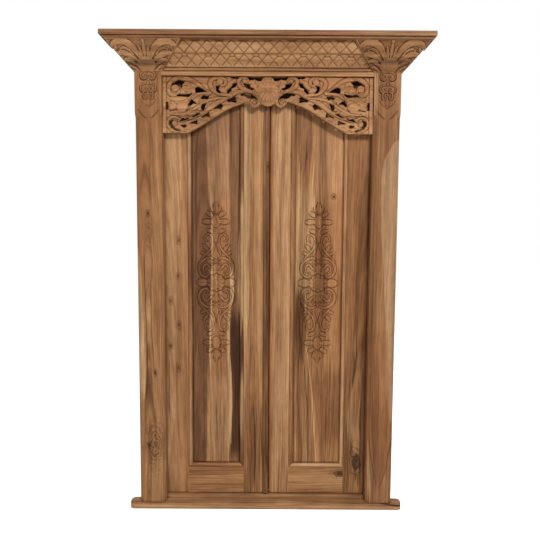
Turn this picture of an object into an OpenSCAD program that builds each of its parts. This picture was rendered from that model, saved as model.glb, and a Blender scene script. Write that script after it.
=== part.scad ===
// Carved double door set: two framed and panelled leaves on butt hinges in a carved timber frame
// with a pierced, arched valance under the head and a flared cornice with corner capitals.
// X runs across the opening, -Y faces the carved front and Z is up, from the underside of the threshold.

/* [Overall] */
// Height from the floor to the top of the cornice cap
overall_h = 2200; // [2050:10:2400]
// Clear width between the posts
opening_w = 966; // [900:2:1100]

/* [Posts] */
// Width of a post seen from the front
post_w = 123; // [110:1:150]
// Depth of a post from its front face to its back face
post_d = 95; // [90:1:120]
// Width of the rebate that a leaf closes into
rebate_w = 10; // [8:1:14]
// Width of the stop chamfers on a post's front edges
post_chamfer = 14; // [6:1:18]
// Height above the floor at which the stop chamfers end
chamfer_top = 1850; // [1700:10:1900]

/* [Threshold] */
// Height of the tread that the posts stand on
tread_h = 30; // [24:1:45]
// Height of the upstand under the leaves, above the tread
upstand_h = 17; // [10:1:25]
// How far the tread stands in front of the posts
nosing = 8; // [4:1:20]
// How far a horn runs past the outside of a post
horn_l = 48; // [30:1:80]
// Depth of a horn, front to back
horn_d = 55; // [50:1:75]
// Radius of a horn's corners
horn_r = 20; // [8:1:24]

/* [Cornice] */
// Thickness of the cap board
cap_t = 30; // [24:1:40]
// Height of a corner capital
capital_h = 112; // [100:1:140]
// How far a capital flares out from its foot to its head, on each side
flare = 100; // [85:1:120]
// Height of the lower frieze board
lower_frieze_h = 48; // [40:1:56]
// How far the cap stands out past the capitals
cap_lip = 18; // [8:1:24]
// Height of the head beam over the leaves
head_h = 130; // [125:1:160]
// Width of a diamond in the friezes' lattice
lattice_w = 53; // [44:1:62]

/* [Valance] */
// Height of the valance board
valance_h = 255; // [230:1:280]
// Thickness of the valance board
valance_t = 18; // [14:1:26]
// How far the valance stands behind the front of the posts
valance_setback = 12; // [8:1:16]

/* [Leaves] */
// Thickness of a leaf's stiles and rails
leaf_t = 36; // [32:1:40]
// Distance from the middle of the opening to the meeting line
meeting_x = 12; // [8:1:16]
// Gap between the two leaves at their back edges
meeting_gap = 0.4; // [0.3:0.1:3]
// Gap round the other edges of a leaf
edge_gap = 2; // [1.5:0.1:3]
// Width of a leaf's hinge stile
hinge_stile_w = 113; // [95:1:130]
// Distance from the middle of the opening to a panel opening
panel_in = 110; // [95:1:130]
// Height of the bottom rail
bottom_rail_h = 132; // [110:1:180]
// Height of the top rail
top_rail_h = 95; // [85:1:180]
// Width of the bead round a panel
bead_w = 18; // [12:1:22]
// Width of the sunk margin between bead and raised field
margin_w = 8; // [4:1:30]
// Height of the raised field over its margin
field_rise = 6; // [3:0.5:8]
// Height of the carved medallion on a panel
medallion_h = 780; // [700:10:860]
// Height of a medallion's rosette above the bottom of its panel opening
medallion_rise = 908; // [880:2:940]
// Width of the astragal on the meeting stile
astragal_w = 26; // [20:1:32]
// Thickness of the astragal
astragal_t = 10; // [6:1:12]

/* [Hinges] */
// Height of a butt hinge
hinge_h = 100; // [75:1:125]
// Width of one hinge plate
hinge_w = 32; // [28:1:34]
// Thickness of a hinge plate
hinge_t = 2.5; // [2:0.1:3]
// Outside radius of the hinge knuckle
knuckle_r = 5.5; // [5:0.1:6.5]
// Radius of the hinge pin
pin_r = 3; // [2.5:0.1:3.5]
// Height of the lowest hinge above the floor
hinge_low = 250; // [200:5:320]
// Distance from the top of a leaf down to the highest hinge
hinge_high_drop = 206; // [180:2:300]

/* [Hidden] */
$fn = 48;
eps = 0.02;
joint_clear = 0.2;   // room round a tenon or a tongue
end_clear = 1;       // room at the end of a tenon or a tongue
seat = 0.3;          // room between boards that lie against each other at a slope

// Frame, front to back and across
open_half = opening_w / 2;
frame_half = open_half + post_w;
front_y = -50;
back_y = front_y + post_d;
leaf_y = back_y - leaf_t;
stop_y = leaf_y - 1;
wall_y = front_y - nosing + horn_d;

// Heights
cap_z = overall_h - cap_t;
capital_z = cap_z - capital_h;
head_z = cap_z - head_h;
upstand_z = tread_h + upstand_h;
upstand_y = leaf_y - 17;
leaf_low = upstand_z + edge_gap + 1;
leaf_high = head_z - edge_gap - 2;
frieze_z = capital_z + 18;
frieze_mid = frieze_z + lower_frieze_h;
valance_z = head_z - valance_h;

// Post joints
post_tenon = [70, 36, 18];
head_tenon = [40, 36, 90];
head_stop_h = 22;
head_stop_d = 15;

// Capital: half widths and front face at its foot and head
capital_foot = post_w / 2 + 4;
capital_head = capital_foot + flare;
capital_front_foot = front_y - 12;
capital_front_head = capital_front_foot - flare + 12;
capital_undercut = [2, 10];  // bevel under the foot's front: how far it starts from the post, and its height
post_mid = open_half + post_w / 2;
capital_housing = 4;             // depth that a capital is let into the outer side of its post
frieze_setback = [[16, 18], [10, 12]];  // lower and upper board: behind the capitals' front, foot and head
fillet = [7, 9];                 // fillet under the friezes: how far it stands out, and its height
fillet_gap = 6;
cap_fillet = 20;
cap_bevel = 10;

// Leaf: u is the distance from the middle of the opening towards the leaf's own hinges
leaf_edge_u = open_half + rebate_w - edge_gap;
panel_out = leaf_edge_u - hinge_stile_w;
panel_w = panel_out - panel_in;
panel_low = leaf_low + bottom_rail_h;
panel_high = leaf_high - top_rail_h;
leaf_tenon_l = 55;
leaf_tenon_t = 12;
leaf_shoulder = 16;
tongue_l = 9;
tongue_t = 14;
tongue_y = leaf_y + 12;
margin_y = leaf_y + 9;
bead_proud = 5;
panel_back = back_y - 6;
field_inset = bead_w + margin_w;
meeting_chamfer = [18, 6];
swing_room = 1.2;    // bevel of a meeting edge over what its swing needs

// Hinges
hinge_u = open_half + rebate_w - edge_gap / 2;
hinge_y = back_y + knuckle_r + 0.5;
hinge_zs = [hinge_low, (hinge_low + leaf_high - hinge_high_drop) / 2, leaf_high - hinge_high_drop];
hinge_names = ["bottom", "middle", "top"];
knuckles = 5;
knuckle_gap = 0.4;
pin_clear = 0.05;
pin_head = [4.5, 3];
screw_r = 2;
screw_head_r = 4;
screw_head_h = 2;
screw_l = 25;
screw_spots = [[-0.34, 10], [0, 22], [0.34, 10]];

// Right half of the valance, drawn on squares from the middle of its top edge, across and down
valance_squares = [104, 57];
// Lower edge from the middle to the end: shell, inner volute, leaf band and end block
valance_edge = [
    [0, 29.6], [3.4, 28.8], [5.4, 27.1], [7.4, 27.8], [9.4, 30.1], [12.3, 31.4], [15.7, 30.4], [18, 27.8],
    [19.3, 25.1], [21, 25.1], [27.6, 27.8], [34.2, 30.4], [41.5, 34.1], [52.6, 41.4], [59.2, 45.3],
    [65.7, 49.7], [72.2, 53.5], [79, 57], [104, 57]
];
// Pierced holes, each between stems, leaf lobes and volutes
valance_holes = [
    [[36.2, -1], [27.6, -1], [29.8, 2], [31.5, 1.3], [33.5, 1.9], [35.9, 1.2]],
    [[20, -1], [2.7, -1], [5.4, 0.9], [7, 3.9], [9.4, 3.9], [13, 2.2], [15, 2.9], [18, 3.1]],
    [[30.6, 6.6], [34.2, 7.5], [34.6, 9.5], [38.2, 12.9], [39.9, 14.8], [39.5, 16.8], [35.9, 14.2],
     [36.5, 11.6], [32.2, 10.2]],
    [[23.6, 7.2], [17.6, 7.9], [18, 10.2], [14, 12.4], [15.7, 13.2], [19.3, 11.9], [22.3, 9.5]],
    [[26.6, 17.8], [23.6, 16.8], [19.3, 16.3], [15.7, 17.5], [12.7, 19.8], [10.9, 23], [13.7, 21.1],
     [17, 21.8], [20.3, 20.8], [23, 18.5], [26, 18.7]],
    [[40, 23.6], [33.2, 20], [31.2, 21.5], [32.2, 23.1], [31.2, 25.6], [35.9, 24.5], [38.5, 25.1]],
    [[50.7, 9.8], [47.5, 9.4], [49.2, 12.4], [46.1, 16.5], [48.8, 15.9], [50.5, 13.7]],
    [[94.3, 8.9], [91, 5.8], [87.5, 4], [82.1, 5.4], [84.7, 8.3], [84.5, 10.3], [85.5, 12.3], [87, 10.8],
     [88, 9], [90.5, 7.8], [92.5, 8.1]],
    [[71.3, 12], [69.1, 10.7], [65.7, 12], [60.9, 15.2], [66.5, 15.4], [70.9, 15.9]],
    [[89.5, 19.8], [87.3, 18], [83.9, 18.5], [80, 18], [74.8, 17.2], [78.2, 20.2], [83, 19.8]],
    [[65.7, 21.1], [63.5, 19.3], [58.3, 19.8], [59.8, 22.6], [61.8, 21.5], [64.4, 22.6]],
    [[78.4, 28.7], [75.2, 23.3], [70.5, 27.1], [73.5, 26.7], [76.9, 29.5]],
    [[65.7, 31.5], [64.8, 28.4], [60.9, 27.1], [62.6, 31.5], [63.9, 33.9]],
    [[100, 25.8], [98.4, 26.5], [99.2, 28], [98, 29.6], [99.2, 31.2], [98.4, 32.6], [100, 33.2]],
    [[74.3, 40.8], [69.5, 37.1], [67, 37.5], [72.2, 40.1]],
    [[86.5, 44.9], [83.9, 41.9], [82, 42.9], [78.2, 42.5], [83, 44.1]],
    [[53.1, 32.3], [46.6, 27.1], [44.5, 28.9], [46.2, 32.8], [49.2, 31.5]],
    [[65, 40.8], [58.3, 36.3], [57.5, 40.2], [60.9, 39.3]],
    [[76.5, 46.7], [70, 44.1], [69.8, 47.7], [72.6, 46.7]],
    [[85.6, 49.3], [81.7, 48.6], [80.6, 49.9], [82.3, 51.4]],
    [[93.4, 43.4], [96.9, 45.3], [97.1, 48], [94.7, 51.4], [91.2, 53.8], [86.5, 54.5], [91.7, 52.3],
     [94.7, 49.3], [95.6, 46.2]]
];

// Carving. Strokes are half drawings on squares, across from an axis and up or down from a base line,
// and are cut on both sides of the axis
stroke_steps = 3;                // points that a stroke takes from each of its spans
stroke_tip = 0.4;                // width of a stroke's ends, as a share of its full width
stroke_swell = 3;                // how soon a stroke reaches its full width
medallion_cut = [5, 2.5];        // width and depth of the strokes
capital_cut = [6, 3.5];
pendant_cut = [5, 3];
valance_cut = [4, 3];
lattice_cut = 3;
lattice_margin = 2.5;            // how far the lattice's crossings stay inside a board's edges

// Medallion: 39 squares from the rosette up to its tip, repeated downwards
medallion_squares = 39;
medallion_rings = [4.1, 2.3];
medallion_strokes = [
    [[0.8, 10.6], [2.6, 12], [5.5, 11], [7.6, 8.4], [7.4, 4.8], [5, 2.6]],
    [[4.4, 9.4], [6.2, 7.2], [5.8, 4.9], [4.4, 4]],
    [[7.6, 9.8], [4.6, 12.6], [2.6, 14.6], [1.5, 17.8], [1.6, 21.4], [3.4, 23.1], [5.1, 21.7], [4.6, 19.9]],
    [[5.2, 14.2], [6.4, 15.4], [5.6, 18]],
    [[1.2, 24], [3.4, 24.6], [4.6, 26.2], [4.2, 27.8], [6.2, 28.4], [6.2, 30], [4.2, 30.8], [3.6, 32.4],
     [3.8, 34], [2.4, 35.2]],
    [[0.4, 26.8], [1.8, 27.6], [2.4, 29.8], [1.4, 32.2], [0.4, 33]],
    [[1.8, 34.8], [1.2, 36.6], [0.4, 38.2]],
    [[4.6, 1.6], [6.4, 1.7], [8.6, 0.3]]
];

// Capital: squares of a tenth of its width at the foot, up the slope of its front
capital_squares = 13.1;
capital_strokes = [
    [[2.5, 4.9], [4.1, 7.8], [6.1, 10.5], [8.4, 12], [11, 12.3], [13.1, 11.2], [13.8, 9.6], [12.6, 8.9]],
    [[5.1, 7.4], [6.6, 9.4], [8.7, 10.6], [11, 10.4]],
    [[6.4, 8], [9, 7.9], [11.8, 7.6]],
    [[6, 4], [7.4, 5.6], [9.4, 6.4], [10.8, 6.2]],
    [[5.2, 0.8], [5, 2.8], [3.2, 4.4], [0.6, 5]],
    [[5.8, 1.4], [7, 2.6], [8, 2.4]]
];
capital_flutes = [0, 1.4, 2.8];
capital_flute_l = 3.6;

// Pendant on a post: 12 squares across the post, down from the capital
pendant_squares = 12.3;
pendant_strokes = [
    [[3.6, 0.6], [3.4, 3.4], [2, 4.1], [0.5, 3.6]],
    [[3.7, 5.4], [3.7, 8.4], [2.5, 9.6], [0.5, 9]],
    [[2.7, 10.8], [2.4, 12.1], [1.3, 12.4], [0.5, 11.6]],
    [[3.6, 12.4], [3, 13.8], [1.5, 15.2], [0.3, 16]],
    [[4.4, 17.2], [3.4, 18.8], [1.7, 20.4], [0.3, 21.4]]
];
pendant_curls = [[1.5, 2.2, 0.8], [1.4, 7.6, 0.8], [1.2, 11, 0.5]];

// Valance: scrolls and stems between the holes, and flutes of the shell over the middle
valance_strokes = [
    [[17.6, 14.8], [24.3, 14.8], [30.9, 16.2], [42.5, 22.3], [54, 29.2], [65.7, 36], [76, 40.6]],
    [[42, 19.3], [48, 17.6], [54, 13.4], [55.6, 6.8], [52.6, 3.2], [47, 2], [43.4, 4.6]],
    [[61, 13.6], [69.5, 7.4], [77, 4], [85, 2.6], [92, 4.4], [96, 9.4], [96.4, 15], [92, 17.6]],
    [[19.6, 12.8], [25, 11], [27.6, 6.9], [26.6, 3.6], [23.4, 2.6]],
    [[12.6, 17.2], [9.9, 20.6], [9.4, 25], [11.4, 28.4]]
];
shell_drop = 13.5;
shell_flutes = [3.2, 9.5];
shell_angles = [-65:26:65];

leaf_nodes = ["hinge_stile", "meeting_stile", "top_rail", "bottom_rail", "panel",
              "bead_hinge_side", "bead_meeting_side", "bead_top", "bead_bottom", "hinge_screws"];
sides = ["left", "right"];
NODES = concat(
    ["threshold", "left_post", "right_post", "head_beam", "head_stop", "valance", "lower_frieze",
     "upper_frieze", "left_capital", "right_capital", "cornice_cap", "frame_hinge_screws", "astragal"],
    [for (s = sides, n = leaf_nodes) str(s, "_", n)],
    [for (s = sides, h = hinge_names, p = ["frame_plate", "leaf_plate", "pin"]) str(s, "_", h, "_hinge_", p)]
);
node = "all";

teak = "peru";
teak_dark = "sienna";
teak_pale = "burlywood";
steel = "silver";

// Box between two opposite corners
module box(lo, hi) {
    translate(lo) cube(hi - lo);
}

// Outline in X and Z, given depth between two Y values
module front_prism(y0, y1) {
    translate([0, y1, 0]) rotate([90, 0, 0]) linear_extrude(y1 - y0) children();
}

// Outline in Y and Z, given length between two X values
module side_prism(x0, x1) {
    translate([x0, 0, 0]) rotate([90, 0, 90]) linear_extrude(x1 - x0) children();
}

// Children drawn for the right hand side, mirrored where the side is the left one
module on_side(side) {
    if (side < 0) mirror([1, 0, 0]) children();
    else children();
}

// Carving tools

// Smooth curve through points, with stroke_steps points on each span
function curve(p) = let (last = len(p) - 1, q = concat([2 * p[0] - p[1]], p, [2 * p[last] - p[last - 1]]))
    concat([for (i = [0:last - 1], k = [0:stroke_steps - 1]) let (t = k / stroke_steps)
        curve_point(q[i], q[i + 1], q[i + 2], q[i + 3], t)], [p[last]]);

function curve_point(a, b, c, d, t) =
    0.5 * (2 * b + (c - a) * t + (2 * a - 5 * b + 4 * c - d) * t * t + (3 * b - a - 3 * c + d) * t * t * t);

// Unit vector across a line at its point i
function across_line(line, i) = let (d = line[min(i + 1, len(line) - 1)] - line[max(i - 1, 0)])
    [-d[1], d[0]] / norm(d);

// Outline of one stroke that narrows at both ends
module stroke(points, width) {
    line = curve(points);
    last = len(line) - 1;
    half = [for (i = [0:last]) width / 2 * min(1, stroke_tip + stroke_swell * min(i, last - i) / last)];
    polygon(concat([for (i = [0:last]) line[i] + across_line(line, i) * half[i]],
                   [for (i = [last:-1:0]) line[i] - across_line(line, i) * half[i]]));
}

// Strokes on both sides of an axis, sunk below z = 0 by the cut's depth
module sunk_strokes(strokes, square, cut) {
    for (points = strokes, side = [-1, 1]) translate([0, 0, -cut[1]]) linear_extrude(cut[1] + 1)
        stroke([for (p = points) [side * p[0] * square[0], p[1] * square[1]]], cut[0]);
}

// Ring sunk below z = 0
module sunk_ring(r, cut) {
    translate([0, 0, -cut[1]]) linear_extrude(cut[1] + 1) difference() {
        circle(r + cut[0] / 2);
        circle(r - cut[0] / 2);
    }
}

// V-shaped groove on z = 0 between two points
module v_groove(from, to, depth) {
    side = depth * sqrt(2);
    d = to - from;
    translate([from[0], from[1], 0]) rotate([0, 0, atan2(d[1], d[0])]) rotate([45, 0, 0])
        translate([0, -side / 2, -side / 2]) cube([norm(d), side, side]);
}

// Puts a drawing on a front face that leans from (y0, z0) to (y1, z1), with its own +Z out of the wood
module on_front(x, y0, z0, y1, z1) {
    translate([x, y0, z0]) rotate([atan2(z1 - z0, y1 - y0), 0, 0]) children();
}

// Frame

module threshold() {
    front = front_y - nosing;
    horn_x = frame_half + horn_l;
    color(teak) difference() {
        union() {
            box([-frame_half, front, 0], [frame_half, back_y, tread_h]);
            for (side = [-1, 1]) on_side(side) linear_extrude(tread_h) {
                translate([0, front]) square([horn_x - horn_r, horn_d]);
                translate([0, front + horn_r]) square([horn_x, horn_d - 2 * horn_r]);
                for (y = [front + horn_r, wall_y - horn_r]) translate([horn_x - horn_r, y]) circle(horn_r);
            }
            box([-open_half, upstand_y, tread_h - 1], [open_half, back_y, upstand_z]);
        }
        for (side = [-1, 1]) on_side(side) post_tenon_block(joint_clear, end_clear);
    }
}

// Stub tenon under a post, or its mortise where room is given
module post_tenon_block(room, end_room) {
    mid_y = (front_y + back_y) / 2;
    translate([post_mid + rebate_w / 2, mid_y, tread_h - post_tenon[2] - end_room])
        linear_extrude(post_tenon[2] + end_room + eps)
            square([post_tenon[0] + 2 * room, post_tenon[1] + 2 * room], center = true);
}

// Tenon at the right hand end of the head beam, or its mortise where room is given
module head_tenon_block(room, end_room) {
    mid_y = (front_y + stop_y) / 2;
    mid_z = (head_z + cap_z) / 2;
    half_y = head_tenon[1] / 2 + room;
    half_z = head_tenon[2] / 2 + room;
    box([open_half - eps, mid_y - half_y, mid_z - half_z],
        [open_half + head_tenon[0] + end_room, mid_y + half_y, mid_z + half_z]);
}

// Stop chamfer along a vertical front edge, with its sloped stop at the top
module stop_chamfer(u, inward) {
    c = post_chamfer;
    hull() {
        for (z = [tread_h - 1, chamfer_top]) translate([u, front_y, z])
            linear_extrude(eps) polygon([[0, 0], [-inward * c, 0], [0, c], [inward, -1]]);
        translate([u, front_y, chamfer_top + 2 * c]) cube([eps, eps, eps]);
    }
}

module post(side) {
    color(teak) on_side(side) difference() {
        union() {
            linear_extrude_between(tread_h, cap_z) polygon([
                [open_half, front_y], [frame_half, front_y], [frame_half, back_y],
                [open_half + rebate_w, back_y], [open_half + rebate_w, stop_y], [open_half, stop_y]]);
            post_tenon_block(0, 0);
        }
        stop_chamfer(open_half, -1);
        stop_chamfer(frame_half, 1);
        box([frame_half - capital_housing, front_y - 1, capital_z], [frame_half + 1, wall_y, cap_z + 1]);
        head_tenon_block(joint_clear, end_clear);
        on_front(post_mid, front_y, capital_z, front_y, cap_z) pendant();
        for (z = hinge_zs) {
            hinge_plate_blank(hinge_u + edge_gap / 2, z, 1, joint_clear);
            hinge_screws_at(hinge_u + edge_gap / 2, z, 1, pin_clear);
        }
    }
}

// Carved pendant under a capital: curls over two V-shaped tips
module pendant() {
    square = post_w / pendant_squares;
    sunk_strokes(pendant_strokes, [square, -square], pendant_cut);
    for (c = pendant_curls, side = [-1, 1])
        translate([side * c[0] * square, -c[1] * square]) sunk_ring(c[2] * square, pendant_cut / 2);
}

// Plan outline extruded between two heights
module linear_extrude_between(z0, z1) {
    translate([0, 0, z0]) linear_extrude(z1 - z0) children();
}

module head_beam() {
    fillet_z = frieze_z - fillet_gap;
    fillet_half = frieze_half(fillet_z);
    color(teak) union() {
        box([-open_half, front_y, head_z], [open_half, back_y, cap_z]);
        box([-fillet_half, front_y - fillet[0], fillet_z - fillet[1]], [fillet_half, front_y + 1, fillet_z]);
        for (side = [-1, 1]) on_side(side) head_tenon_block(0, 0);
    }
}

module head_stop() {
    color(teak_dark)
        box([-open_half, stop_y - head_stop_d, head_z - head_stop_h], [open_half, stop_y, head_z]);
}

// Cornice

// Half width of a capital at height z, measured from the middle of its post
function capital_half(z) = capital_foot + flare * (z - capital_z) / capital_h;

// Front face of a capital at height z
function capital_front(z) = capital_front_foot + (capital_front_head - capital_front_foot)
    * (z - capital_z - capital_undercut[1]) / (capital_h - capital_undercut[1]);

module capital(side) {
    color(teak) on_side(side) difference() {
        intersection() {
            front_prism(capital_front_head - 1, wall_y) polygon([
                [post_mid - capital_foot, capital_z], [post_mid + capital_foot, capital_z],
                [post_mid + capital_head, cap_z], [post_mid - capital_head, cap_z]]);
            side_prism(0, frame_half + flare + 10) polygon([
                [front_y - capital_undercut[0], capital_z], [wall_y, capital_z], [wall_y, cap_z],
                [capital_front_head, cap_z], [capital_front_foot, capital_z + capital_undercut[1]]]);
        }
        box([0, front_y, capital_z - 1], [frame_half - capital_housing, back_y, cap_z + 1]);
        on_front(post_mid, capital_front_foot, capital_z + capital_undercut[1], capital_front_head, cap_z)
            capital_scrolls();
    }
}

// Carving on a capital's front: scrolls and leaves beside a fluted bulge
module capital_scrolls() {
    square = 2 * capital_foot / capital_squares;
    sunk_strokes(capital_strokes, [square, square], capital_cut);
    for (u = capital_flutes, side = u > 0 ? [-1, 1] : [1])
        v_groove([side * u * square, 0], [side * u * square, capital_flute_l * square], capital_cut[1] / 2);
}

// Sloped frieze board between the capitals, from height z0 to z1
module frieze(setback, z0, z1) {
    y0 = capital_front(z0) + setback[0];
    y1 = capital_front(z1) + setback[1];
    difference() {
        intersection() {
            side_prism(-frame_half, frame_half) polygon([[front_y, z0], [y0, z0], [y1, z1], [front_y, z1]]);
            front_prism(capital_front_head, front_y + 1) polygon([
                [-frieze_half(z0), z0], [frieze_half(z0), z0], [frieze_half(z1), z1], [-frieze_half(z1), z1]]);
        }
        on_front(0, y0, z0, y1, z1) lattice(frieze_half(z0), norm([y1 - y0, z1 - z0]));
    }
}

// Diamond lattice of V-grooves over a board's face of the given half length and height
module lattice(half, high) {
    count = ceil(half / lattice_w);
    rise = high - 2 * lattice_margin;
    past = [lattice_w, rise] * (lattice_margin + lattice_cut) / rise;
    for (k = [-count:count - 1], side = [0, 1]) mirror([side, 0, 0])
        translate([0, lattice_margin, 0])
            v_groove([k * lattice_w, 0] - past, [(k + 1) * lattice_w, rise] + past, lattice_cut);
}

// Half length of a frieze at height z, where it meets the capitals
function frieze_half(z) = post_mid - capital_half(z) - seat;

module lower_frieze() {
    color(teak_pale) frieze(frieze_setback[0], frieze_z, frieze_mid);
}

module upper_frieze() {
    color(teak_pale) frieze(frieze_setback[1], frieze_mid, cap_z);
}

// Plan of the cap: over the capitals in front of the wall, and over the frame behind it
module cap_plan(inset) {
    half = post_mid + capital_head + cap_lip - inset;
    front = capital_front_head - cap_lip + inset;
    translate([-half, front]) square([2 * half, wall_y - front]);
    translate([-frame_half, front]) square([2 * frame_half, back_y - front]);
}

module cornice_cap() {
    color(teak) {
        linear_extrude_between(cap_z, overall_h - cap_fillet + eps) cap_plan(cap_bevel);
        linear_extrude_between(overall_h - cap_fillet, overall_h) cap_plan(0);
    }
}

// Valance

// Points of the valance's drawing, laid out on the board
function valance_points(list) = [for (p = list)
    [p[0] * open_half / valance_squares[0], -p[1] * valance_h / valance_squares[1]]];

module valance_half() {
    difference() {
        polygon(valance_points(concat(valance_edge, [[valance_squares[0], 0], [0, 0]])));
        for (hole = valance_holes) polygon(valance_points(hole));
    }
}

module valance() {
    face_y = front_y + valance_setback;
    color(teak_pale) difference() {
        translate([0, 0, head_z]) front_prism(face_y, face_y + valance_t)
            for (side = [-1, 1]) if (side < 0) mirror([1, 0]) valance_half(); else valance_half();
        on_front(0, face_y, head_z, face_y, cap_z) valance_carving();
    }
}

// Scroll lines on the valance's face, and the flutes of its shell
module valance_carving() {
    square = [open_half / valance_squares[0], valance_h / valance_squares[1]];
    sunk_strokes(valance_strokes, [square[0], -square[1]], valance_cut);
    for (a = shell_angles, up = [-1, 1])
        v_groove(shell_point(square, shell_flutes[0], a, up), shell_point(square, shell_flutes[1], a, up),
                 valance_cut[1] / 2);
}

// Point of the shell at r squares from its middle, at an angle from its upper or lower axis
function shell_point(square, r, a, up) =
    [square[0] * r * sin(a), square[1] * (up * r * cos(a) - shell_drop)];

// Leaves

// Meeting edge of a leaf at depth y, bevelled so that the leaf swings clear of the other one
function meeting_u(side, y) = side * meeting_x + meeting_gap / 2
    + swing_room * pow(hinge_y - y, 2) / (2 * leaf_edge_u);

// Tenon of a rail between two heights, or its mortise where room is given
module rail_tenon(u0, u1, z0, z1, room) {
    y_mid = leaf_y + leaf_t / 2 + 2;
    box([u0, y_mid - leaf_tenon_t / 2 - room, z0 + leaf_shoulder - room],
        [u1, y_mid + leaf_tenon_t / 2 + room, z1 - leaf_shoulder + room]);
}

// Mortises for both rails in a stile, from its panel edge into its depth
module rail_mortises(u0, u1) {
    for (z = [[leaf_low, panel_low], [panel_high, leaf_high]]) rail_tenon(u0, u1, z[0], z[1], joint_clear);
}

// Groove for the panel's tongue, as a frame round the panel opening
module panel_groove() {
    r = tongue_l + end_clear;
    box([panel_in - r, tongue_y - joint_clear, panel_low - r],
        [panel_out + r, tongue_y + tongue_t + joint_clear, panel_high + r]);
}

module hinge_stile(side) {
    color(teak) on_side(side) difference() {
        box([panel_out, leaf_y, leaf_low], [leaf_edge_u, back_y, leaf_high]);
        rail_mortises(panel_out - 1, panel_out + leaf_tenon_l + end_clear);
        panel_groove();
        for (z = hinge_zs) {
            hinge_plate_blank(leaf_edge_u, z, -1, joint_clear);
            hinge_screws_at(leaf_edge_u, z, -1, pin_clear);
        }
    }
}

module meeting_stile(side) {
    front = meeting_u(side, leaf_y);
    chamfer_y = leaf_y + meeting_chamfer[1];
    front_edge = side < 0 ? [[front, leaf_y]]
        : [[front + meeting_chamfer[0], leaf_y], [meeting_u(side, chamfer_y), chamfer_y]];
    color(teak) on_side(side) difference() {
        linear_extrude_between(leaf_low, leaf_high) polygon(concat(
            [[meeting_u(side, back_y), back_y], [panel_in, back_y], [panel_in, leaf_y]], front_edge));
        rail_mortises(panel_in - leaf_tenon_l - end_clear, panel_in + 1);
        panel_groove();
    }
}

module rail(side, z0, z1) {
    color(teak) on_side(side) difference() {
        union() {
            box([panel_in, leaf_y, z0], [panel_out, back_y, z1]);
            rail_tenon(panel_in - leaf_tenon_l, panel_out + leaf_tenon_l, z0, z1, 0);
        }
        panel_groove();
    }
}

module panel(side) {
    field_y = margin_y - field_rise;
    color(teak_dark) on_side(side) difference() {
        union() {
            box([panel_in - tongue_l, tongue_y, panel_low - tongue_l],
                [panel_out + tongue_l, tongue_y + tongue_t, panel_high + tongue_l]);
            panel_step(joint_clear, margin_y, panel_back);
            panel_step(field_inset, field_y, margin_y + 1);
        }
        on_front(panel_in + panel_w / 2, field_y, panel_low + medallion_rise, field_y, panel_high) medallion();
    }
}

// Sunk medallion: scrolls and a bud above a rosette, and the same below it
module medallion() {
    square = medallion_h / 2 / medallion_squares;
    for (r = medallion_rings) sunk_ring(r * square, medallion_cut);
    for (up = [-1, 1]) sunk_strokes(medallion_strokes, [square, up * square], medallion_cut);
}

// Rectangular step of the panel, set in from the panel opening
module panel_step(inset, y0, y1) {
    box([panel_in + inset, y0, panel_low + inset], [panel_out - inset, y1, panel_high - inset]);
}

// Round-nosed bead section, with its flat against the panel opening at zero
module bead_section() {
    nose = bead_w / 2;
    nose_y = leaf_y - bead_proud + nose;
    intersection() {
        union() {
            translate([nose, nose_y]) circle(nose);
            translate([0, nose_y]) square([bead_w, nose]);
        }
        translate([joint_clear, leaf_y - bead_proud - 1])
            square([bead_w, margin_y - joint_clear - leaf_y + bead_proud + 1]);
    }
}

// Four mitred pieces of the bead: turn 0 is the hinge side, 1 the top, 2 the meeting side and 3 the bottom
module bead(side, turn) {
    w = panel_w;
    h = panel_high - panel_low;
    long = turn % 2 == 0 ? h : w;
    across = turn % 2 == 0 ? w : h;
    end = long / 2 - joint_clear;
    reach = bead_w + 1;
    color(teak_pale) on_side(side)
        translate([panel_in + w / 2, 0, panel_low + h / 2]) rotate([0, -90 * turn, 0])
            intersection() {
                translate([across / 2, 0, -long / 2]) mirror([1, 0, 0]) linear_extrude(long) bead_section();
                front_prism(leaf_y - bead_w, back_y) polygon([
                    [across / 2, end], [across / 2 - reach, end - reach],
                    [across / 2 - reach, reach - end], [across / 2, -end]]);
            }
}

// Flat strip with eased edges on the left leaf's meeting stile, between threshold and head stop
module astragal() {
    ease = 3;
    front = leaf_y - astragal_t;
    edge = meeting_u(-1, leaf_y);
    front_edge = meeting_u(-1, front);
    color(teak_pale) on_side(-1) linear_extrude_between(leaf_low, head_z - head_stop_h - edge_gap) polygon([
        [edge, leaf_y], [front_edge, front + ease], [front_edge + ease, front],
        [edge + astragal_w - ease, front], [edge + astragal_w, front + ease], [edge + astragal_w, leaf_y]]);
}

// Hinges

// Flat of a hinge plate let into the wood from u, towards dir, with room round it for its recess
module hinge_plate_blank(u, z, dir, room) {
    lo = min(u, u + dir * (hinge_t + room));
    box([dir > 0 ? u - room : lo, back_y - hinge_w - room, z - hinge_h / 2 - room],
        [dir > 0 ? u + hinge_t + room : u + room, back_y + room, z + hinge_h / 2 + room]);
}

// Countersunk screws of one hinge plate, driven from u towards dir
module hinge_screws_at(u, z, dir, room) {
    for (s = screw_spots)
        translate([u, back_y - s[1], z + s[0] * hinge_h]) rotate([0, 90 * dir, 0]) {
            cylinder(h = screw_head_h + room, r1 = screw_head_r + room, r2 = screw_r + room);
            cylinder(h = screw_l + room, r = screw_r + room);
        }
}

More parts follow.
